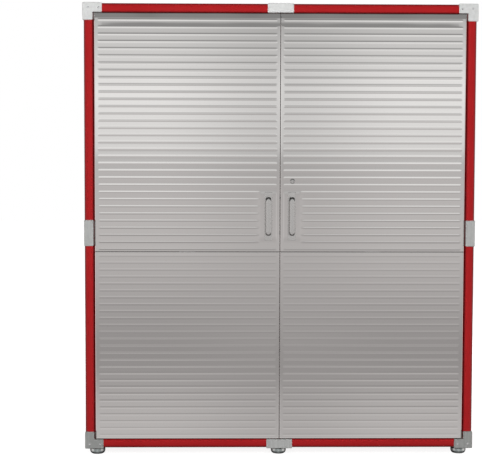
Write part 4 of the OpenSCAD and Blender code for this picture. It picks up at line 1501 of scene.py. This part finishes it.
@dataclass
class Lock:
    """The cam lock's housing and its plug with the key's slot.

    Attributes:
        head_t: Height of the head.
        barrel_r: Radius of the barrel behind the head.
        bore_r: Radius of the bore for the plug.
        edge_r: Radius of the head's front edge.
        plug_r: Radius of the plug.
        tail_r: Radius of the plug's tail.
        tail: Length of the tail.
        plug_edge: Insets of the two rows on the plug's front edge.
        slot: Half width and half height of the key's slot.
        slot_deep: Depth of the slot.
        lip: Chamfer of the bore and of the slot.
        steps: Angles round the lock.
    """

    head_t: float = 3 * MM
    barrel_r: float = 9.5 * MM
    bore_r: float = 7.05 * MM
    edge_r: float = 2.7 * MM
    plug_r: float = 7 * MM
    tail_r: float = 4 * MM
    tail: float = 6 * MM
    plug_edge: tuple[float, float] = (0.2 * MM, 0.6 * MM)
    slot: tuple[float, float] = (1.2 * MM, 4 * MM)
    slot_deep: float = 18 * MM
    lip: float = 0.3 * MM
    steps: int = 48

    def housing(self) -> None:
        """Builds the housing as a turned ring: bore, rounded head and barrel."""
        low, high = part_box("lock_housing")
        head_r = (high.x - low.x) / 2
        edge_in, edge_y = quarter_round(self.edge_r)
        radius = np.concatenate([[self.bore_r, self.bore_r + self.lip], head_r - edge_in,
                                 [head_r, self.barrel_r, self.barrel_r, self.bore_r]])
        behind = np.concatenate([[self.lip, 0], edge_y,
                                 [self.head_t, self.head_t, high.y - low.y, high.y - low.y]])
        form = turned(radius, -behind, self.steps, looped=True)
        put = facing_front((low.x + high.x) / 2, low.y, (low.z + high.z) / 2)
        make_piece("lock_case", form.changed(put), Finishes.HANDLE, "right_door", ["lock_housing"])

    def plug(self) -> None:
        """Builds the plug: turned rows, then the slot.

        At an angle a the slot's edge lies at min(w / |cos a|, h / |sin a|) from the middle.
        """
        low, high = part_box("lock_plug")
        angle = np.linspace(0, 2 * np.pi, self.steps, endpoint=False) + np.pi / self.steps
        slot = np.minimum(self.slot[0] / np.abs(np.cos(angle)), self.slot[1] / np.abs(np.sin(angle)))
        length = high.y - low.y
        small, large = self.plug_edge
        radius = [self.tail_r] * 2 + [self.plug_r - inset for inset in (0, 0, small, large)]
        behind = [length, length - self.tail, length - self.tail, large, small, 0]
        rings = np.broadcast_to(np.array(radius)[:, None], (len(radius), self.steps))
        reach = np.concatenate([rings, [slot + self.lip, slot, slot]])
        depth = np.array([*behind, 0, self.lip, self.slot_deep])
        grid = np.stack([reach * np.cos(angle), reach * np.sin(angle),
                         np.broadcast_to(-depth[:, None], reach.shape)], axis=-1)
        form = lattice(grid, around=True, first=True, last=True).welded()
        put = facing_front((low.x + high.x) / 2, low.y, (low.z + high.z) / 2)
        make_piece("key_plug", form.changed(put), Finishes.HANDLE, "lock", ["lock_plug"])

    def build(self) -> None:
        """Builds the housing and the plug."""
        self.housing()
        self.plug()


# Feet, panels and shelves


@dataclass
class Feet:
    """Six levelling feet: a turned bowl, a collar and a threaded stem.

    Attributes:
        base_r: Radius of the flat that a foot stands on.
        base_in: Distance of the flat's inner row from its edge.
        curve_h: Height up to which the bowl widens.
        bowl_h: Height of the bowl.
        rim_r: Radius of the bowl's upper rim.
        fillet: Points between bowl and collar: distances out from the collar and up from the bowl.
        collar_r: Radius of the collar.
        collar_z: Height of the collar's top.
        collar_edge: Chamfer of its upper edge.
        stem_r: Radius of the stem.
        plain: Lengths of the stem without a thread, at the collar and at its end.
        thread: Pitch of the thread.
        thread_deep: Depth of the thread.
        thread_rows: Rows on one turn of the thread.
        swell_steps: Points on the bowl's curve.
        steps: Angles round a foot.
    """

    base_r: float = 21 * MM
    base_in: float = 1 * MM
    curve_h: float = 15 * MM
    bowl_h: float = 26.5 * MM
    rim_r: float = 4 * MM
    fillet: tuple[tuple[float, float], ...] = ((3 * MM, 0.0), (0.8 * MM, 0.3 * MM), (0.0, 1.2 * MM))
    collar_r: float = 11 * MM
    collar_z: float = 39.7 * MM
    collar_edge: float = 0.8 * MM
    stem_r: float = 5 * MM
    plain: tuple[float, float] = (0.4 * MM, 1 * MM)
    thread: float = 1.5 * MM
    thread_deep: float = 0.7 * MM
    thread_rows: int = 6
    swell_steps: int = 14
    steps: int = 48

    def form(self, bowl_r: float, top: float) -> Patch:
        """One foot on its axis.

        Its bowl is a quarter of an ellipse with a rounded rim. A collar follows, and a stem whose radius
        follows a screw line.

        Args:
            bowl_r: Largest radius of the bowl.
            top: Height of the stem's end.

        Returns:
            The closed foot.
        """
        swell = np.linspace(0, np.pi / 2, self.swell_steps)
        rim_down, rim_in = quarter_round(self.rim_r)
        out, up = np.array(self.fillet).T
        bowl = self.base_r + (bowl_r - self.base_r) * np.sin(swell)
        radius = np.concatenate([[0, self.base_r - self.base_in], bowl, bowl_r - rim_in, self.collar_r + out,
                                 [self.collar_r, self.collar_r - self.collar_edge, self.stem_r]])
        bowl_z = self.curve_h * (1 - np.cos(swell))
        height = np.concatenate([[0, 0], bowl_z, self.bowl_h - rim_down, self.bowl_h + up,
                                 [self.collar_z - self.collar_edge, self.collar_z, self.collar_z]])
        angle = np.linspace(0, 2 * np.pi, self.steps, endpoint=False)
        level = np.arange(self.collar_z + self.plain[0], top - self.plain[1], self.thread / self.thread_rows)
        phase = np.mod(level[:, None] / self.thread - angle / (2 * np.pi), 1)
        stem = self.stem_r - self.thread_deep * (1 - np.abs(2 * phase - 1))
        ends = np.array([self.stem_r - self.thread_deep, 0])
        reach = np.concatenate([np.broadcast_to(radius[:, None], (len(radius), self.steps)), stem,
                                np.broadcast_to(ends[:, None], (len(ends), self.steps))])
        return turned(reach, np.concatenate([height, level, [top, top]]), self.steps)

    def build(self) -> None:
        """Builds all six feet."""
        for row in ("front", "rear"):
            for place in ("left", "center", "right"):
                node = f"foot_{row}_{place}"
                low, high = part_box(node)
                form = self.form((high.x - low.x) / 2, high.z - low.z)
                put = moved((low.x + high.x) / 2, (low.y + high.y) / 2, low.z)
                make_piece(f"leveller_{row}_{place}", form.changed(put), Finishes.FOOT, node, [node])


@dataclass
class Panels:
    """Folded sheets: the sides, the top, the floor and the shelves.

    Attributes:
        wall: Thickness of the sheet.
        bend_r: Outer radius of a bend.
        corner_r: Radius of a tray's upright corners.
        flange: Width of a side panel's flanges.
        steps: Points on each corner of a tray.
    """

    wall: float = 0.9 * MM
    bend_r: float = 2.4 * MM
    corner_r: float = 3.2 * MM
    flange: float = 30 * MM
    steps: int = 5

    def tray(self, node: str, name: str, finish: Finishes, body: str) -> None:
        """Builds a sheet with its four edges folded down.

        Args:
            node: The CAD node it stands for.
            name: The piece's name.
            finish: Its finish.
            body: The CAD body it moves with.
        """
        low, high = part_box(node)
        corners = rectangle((low.x, low.y), (high.x, high.y))
        outline = rounded_outline(corners, [self.corner_r] * 4, self.steps)
        form = block(outline, high.z - low.z, self.bend_r, self.wall)

        def lie(points: Array) -> Array:
            """Lays the tray down, with its face up."""
            return np.stack([points[:, 0], points[:, 2], high.z - points[:, 1]], axis=-1)

        make_piece(name, form.changed(lie), finish, body, [node])

    def side_panel(self, side: Side) -> None:
        """Builds a side panel: a folded channel between the rails, and a flat end above and below it.

        Args:
            side: The panel's side.
        """
        node = f"{side.word}_side_panel"
        low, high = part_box(node)
        _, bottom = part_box("bottom_rail_right")
        top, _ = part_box("top_rail_right")
        face = max(abs(low.x), abs(high.x))
        bend_in, bend_y = quarter_round(self.bend_r)
        x = face - np.concatenate([[self.flange], bend_in, bend_in[::-1], [self.flange]])
        y = np.concatenate([[low.y], low.y + bend_y, high.y - bend_y[::-1], [high.y]])

        def upright(across: Array, along: Array, z_low: float, z_high: float) -> Patch:
            """A sheet of one level section between two heights."""
            rows = [np.stack([across, along, np.full(len(across), z)], axis=-1) for z in (z_low, z_high)]
            return sheet(np.stack(rows), self.wall)

        flat_x, flat_y = np.full(2, face), np.array([low.y, high.y])
        forms = [upright(x, y, bottom.z, top.z)]
        forms += [upright(flat_x, flat_y, *ends) for ends in ((low.z, bottom.z), (top.z, high.z))]
        form = join(*forms).changed(on_side(side))
        make_piece(f"folded_side_{side.word}", form, Finishes.RED, CARCASS, [node])

    def build(self) -> None:
        """Builds every folded sheet."""
        for side in Side:
            self.side_panel(side)
            for level in (1, 2, 3):
                node = f"shelf_{side.word}_{level}"
                self.tray(node, f"folded_shelf_{side.word}_{level}", Finishes.GREY, node)
        self.tray("top_panel", "folded_top", Finishes.RED, CARCASS)
        self.tray("floor_pan", "folded_floor", Finishes.RED, CARCASS)


@dataclass
class CarriedOver:
    """CAD nodes whose shape is already right.

    Attributes:
        nodes: Names of the nodes, by finish.
    """

    nodes: dict[Finishes, tuple[str, ...]] = field(default_factory=lambda: {
        Finishes.RED: ("back_panel_left", "back_panel_right"),
        Finishes.GREY: ("left_door_pan", "right_door_pan", "center_divider"),
        Finishes.ZINC: ("shelf_standards", "shelf_clips", "lock_keeper", "foot_brackets", "left_hinge_pivots",
                        "right_hinge_pivots", "left_handle_screws", "right_handle_screws", "left_bolt_top",
                        "left_bolt_bottom", "lock_cam"),
        Finishes.PLASTIC: ("hinge_bushes", "magnetic_catches"),
    })

    def dress(self) -> None:
        """Gives every carried-over node its finish."""
        for finish, names in self.nodes.items():
            for name in names:
                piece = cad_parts[name]
                piece.data.materials.clear()
                piece.data.materials.append(finish.value.material())
                log.info("%s: CAD node in %s", name, finish.value.slot)


# Studio


@dataclass
class Studio:
    """Camera, floor, lamps and surroundings.

    Attributes:
        eye: The camera's place.
        yaw: The camera's turn to the right, in degrees.
        pitch: Its tilt upwards.
        roll: Its roll.
        focal: Focal length in pixels.
        width: Width of the picture in pixels.
        film: Width of the film in millimetres.
        sight: How far the camera sees.
        levels: Brightness of the surroundings in polished metal, from 0 to 255, by elevation in degrees:
            straight ahead, and to both sides of that.
        center: Where ahead is, as a direction's x, and how far off it the brightness beside begins.
        dim: From which x to which the surroundings grow dimmer, and how dim.
        bright: From which x to which they then grow bright.
        shine: The light that comes from there, on the ramps' scale.
        scale: What a ramp's light is divided by, because a ramp ends at 1.
        band: Elevations at which that brightness sets in, is whole, ends and has died out.
        warm: How much warmer the lower half is, in levels.
        mirror: Share of light that the metal gives back, which those levels are divided by.
        ambient: Plain light from all round on everything that isn't a mirror.
        floor_half: Half the floor's width.
        floor_grey: Share of light that it scatters.
        glow: The floor's own light to the camera by the cabinet and far from it.
        fades: How far in front or behind the first of these holds, and where the second begins.
        lamps: Place, aim, size and power of each soft lamp.
    """

    eye: tuple[float, float, float] = (-0.2494, -5.4446, 1.2771)
    yaw: float = 0.9124
    pitch: float = -3.182
    roll: float = -0.1335
    focal: float = 1204.77
    width: float = 482.0
    film: float = 36.0
    sight: float = 100.0
    levels: tuple[tuple[float, float, float], ...] = (
        (-90, 120, 120), (-40, 105, 105), (-30, 132, 132), (-24, 185, 190), (-17, 195, 203),
        (-13, 172, 182), (-11.4, 163, 174), (-10.2, 146, 153), (-9.6, 144, 142), (-8.4, 151, 145),
        (-6, 164, 167), (-3.6, 174, 183), (-1.6, 169, 181), (-0.6, 167, 180), (0.15, 164, 178),
        (0.4, 194, 212), (2, 200, 220), (3.4, 212, 232), (5, 190, 207), (6.5, 171, 184), (9.5, 136, 138),
        (17, 128, 130), (22, 110, 110), (30, 68, 68), (60, 66, 66), (90, 110, 110),
    )
    center: tuple[float, float] = (0.049, 0.11)
    dim: tuple[float, float, float] = (0.2, 0.3, 0.68)
    bright: tuple[float, float] = (0.82, 0.88)
    shine: tuple[float, float, float] = (0.62, 0.55, 0.545)
    scale: float = 2.0
    band: tuple[float, float, float, float] = (-28.0, -15.0, 6.0, 13.0)
    warm: float = 1.5
    mirror: float = 0.70
    ambient: float = 0.18
    floor_half: float = 20.0
    floor_grey: float = 0.4
    glow: tuple[float, float] = (0.88, 1.0)
    fades: tuple[float, float] = (0.5, 1.8)
    lamps: tuple[tuple[tuple[float, float, float], tuple[float, float, float], float, float], ...] = (
        ((-0.2, -5.6, 2.6), (0, -0.3, 1.0), 2.4, 275.0),
        ((0.3, -0.4, 5.2), (0, 0, 1.0), 3.0, 14.0),
        ((0.8, 4.6, 3.2), (0, 0.3, 1.0), 3.0, 150.0),
        ((-4.6, 1.6, 2.4), (0, 0, 1.0), 2.0, 45.0),
        ((4.6, 1.6, 2.4), (0, 0, 1.0), 2.0, 45.0),
    )

    def camera(self) -> None:
        """Makes the camera: yaw about z, then pitch, then roll."""
        cos_y, cos_p, cos_r = (math.cos(math.radians(angle)) for angle in (self.yaw, self.pitch, self.roll))
        sin_y, sin_p, sin_r = (math.sin(math.radians(angle)) for angle in (self.yaw, self.pitch, self.roll))
        ahead = Vector((cos_p * sin_y, cos_p * cos_y, sin_p))
        level = Vector((cos_y, -sin_y, 0))
        above = Vector((-sin_p * sin_y, -sin_p * cos_y, cos_p))
        right = level * cos_r - above * sin_r
        up = level * sin_r + above * cos_r
        turn = Matrix((right, up, -ahead)).transposed().to_4x4()
        data = bpy.data.cameras.new("camera")
        data.sensor_fit = "HORIZONTAL"
        data.sensor_width = self.film
        data.lens = self.focal / self.width * self.film
        data.clip_end = self.sight
        camera = bpy.data.objects.new("camera", data)
        camera.matrix_world = Matrix.Translation(self.eye) @ turn
        bpy.context.scene.collection.objects.link(camera)
        bpy.context.scene.camera = camera

    def floor(self) -> None:
        """Makes the floor.

        The camera sees it white, with the cabinet's shadow. It is a plain matt floor to diffuse light, and
        clear to polished metal, which mirrors the surroundings' own lower half.
        """
        across, along = np.meshgrid(*[np.linspace(-self.floor_half, self.floor_half, 3)] * 2)
        patch = lattice(np.stack([across, along, np.zeros_like(across)], axis=-1))
        mesh = bpy.data.meshes.new("studio_floor")
        mesh.from_pydata(patch.points, [], patch.quads.tolist())
        floor = bpy.data.objects.new("studio_floor", mesh)
        bpy.context.scene.collection.objects.link(floor)
        material = bpy.data.materials.new("studio_floor")
        material.use_nodes = True
        wiring = Wiring(material.node_tree)
        material.node_tree.nodes.remove(material.node_tree.nodes["Principled BSDF"])
        path = wiring.add("ShaderNodeLightPath")
        matt = wiring.add("ShaderNodeBsdfDiffuse", {"Color": (*(self.floor_grey,) * 3, 1)})
        away = wiring.math("ABSOLUTE", wiring.add("ShaderNodeSeparateXYZ", {0: wiring.place()}).outputs[1])
        light = wiring.span(away, *self.fades, *self.glow)
        to_eye = wiring.math("MULTIPLY", light, path.outputs["Is Camera Ray"])
        glow = wiring.add("ShaderNodeEmission", {"Color": (1, 1, 1, 1), "Strength": to_eye})
        seen = wiring.add("ShaderNodeAddShader", {0: matt.outputs[0], 1: glow.outputs[0]})
        clear = wiring.add("ShaderNodeBsdfTransparent")
        final = wiring.blend(path.outputs["Is Glossy Ray"], seen, clear)
        wiring.feed(material.node_tree.nodes["Material Output"].inputs["Surface"], final.outputs[0])
        mesh.materials.append(material)

    def grade(self, wiring: Wiring, share: Socket, column: int) -> Socket:
        """The surroundings' colour by elevation.

        Args:
            wiring: The world's nodes.
            share: Elevation as a share of the table's range.
            column: Which of the table's columns gives the brightness.

        Returns:
            The light that comes from there, on the ramps' scale.
        """
        low, high = self.levels[0][0], self.levels[-1][0]
        ramp = wiring.add("ShaderNodeValToRGB", {0: share})
        stops = ramp.color_ramp.elements
        while len(stops) < len(self.levels):
            stops.new(1.0)
        for stop, row in zip(stops, self.levels):
            warm = self.warm if row[0] < 0 else 0.0
            tint = (row[column] + warm, row[column] - warm / 2, row[column] - warm / 2)
            stop.position = (row[0] - low) / (high - low)
            stop.color = [part / self.mirror / self.scale for part in linear(tint)[:3]] + [1]
        return ramp.outputs[0]

    def surroundings(self) -> None:
        """Makes the world: white to the camera, graded to polished metal, and plain to everything else."""
        world = bpy.data.worlds.new("studio")
        bpy.context.scene.world = world
        world.use_nodes = True
        wiring = Wiring(world.node_tree)
        path = wiring.add("ShaderNodeLightPath")
        ray = wiring.add("ShaderNodeSeparateXYZ", {0: wiring.add("ShaderNodeTexCoord").outputs["Generated"]})
        degrees = wiring.math("MULTIPLY", wiring.math("ARCSINE", ray.outputs[2]), 180 / math.pi)
        low, high = self.levels[0][0], self.levels[-1][0]
        share = wiring.math("DIVIDE", wiring.math("SUBTRACT", degrees, low), high - low)
        ahead, beside = (self.grade(wiring, share, column) for column in (1, 2))
        off = wiring.math("ABSOLUTE", wiring.math("SUBTRACT", ray.outputs[0], self.center[0]))
        side = wiring.math("ABSOLUTE", ray.outputs[0])
        graded = wiring.mix(wiring.span(off, 0.0, self.center[1], 0.0, 1.0), ahead, beside)
        graded = wiring.mix(wiring.span(side, *self.dim[:2], 0.0, 1 - self.dim[2]), graded, (0, 0, 0, 1))
        rise = wiring.span(degrees, *self.band[:2], 0.0, 1.0)
        fall = wiring.span(degrees, *self.band[2:], 1.0, 0.0)
        lit = wiring.span(side, *self.bright, 0.0, 1.0)
        share = wiring.math("MULTIPLY", lit, wiring.math("MULTIPLY", rise, fall))
        graded = wiring.mix(share, graded, (*self.shine, 1))
        mirror = wiring.add("ShaderNodeBackground", {"Color": graded, "Strength": self.scale})
        plain = wiring.add("ShaderNodeBackground", {"Color": (1, 1, 1, 1), "Strength": self.ambient})
        white = wiring.add("ShaderNodeBackground", {"Color": (1, 1, 1, 1), "Strength": 1.0})
        shiny = wiring.math("MAXIMUM", path.outputs["Is Glossy Ray"], path.outputs["Is Transmission Ray"])
        final = wiring.blend(path.outputs["Is Camera Ray"], wiring.blend(shiny, plain, mirror), white)
        wiring.feed(world.node_tree.nodes["World Output"].inputs["Surface"], final.outputs[0])

    def lights(self) -> None:
        """Makes the soft lamps, which light paint and stay out of what metal mirrors."""
        for number, (place, aim, size, power) in enumerate(self.lamps):
            data = bpy.data.lights.new(f"soft_lamp_{number}", "AREA")
            data.shape = "DISK"
            data.size = size
            data.energy = power
            lamp = bpy.data.objects.new(data.name, data)
            lamp.location = place
            lamp.rotation_euler = (Vector(aim) - Vector(place)).to_track_quat("-Z", "Y").to_euler()
            lamp.visible_glossy = False
            bpy.context.scene.collection.objects.link(lamp)

    def build(self) -> None:
        """Makes the whole studio."""
        bpy.context.scene.view_settings.view_transform = "Standard"
        self.camera()
        self.floor()
        self.surroundings()
        self.lights()


def main() -> None:
    """Builds the studio and every sub-assembly in order."""
    Studio().build()
    FrontFrame().build()
    CornerFittings().build()
    for side in Side:
        for end in End:
            Skin(side, end).build()
        Stiffener(side).build()
        Handle(side).build()
    Lock().build()
    Feet().build()
    Panels().build()
    CarriedOver().dress()


if __name__ == "__main__":
    main()
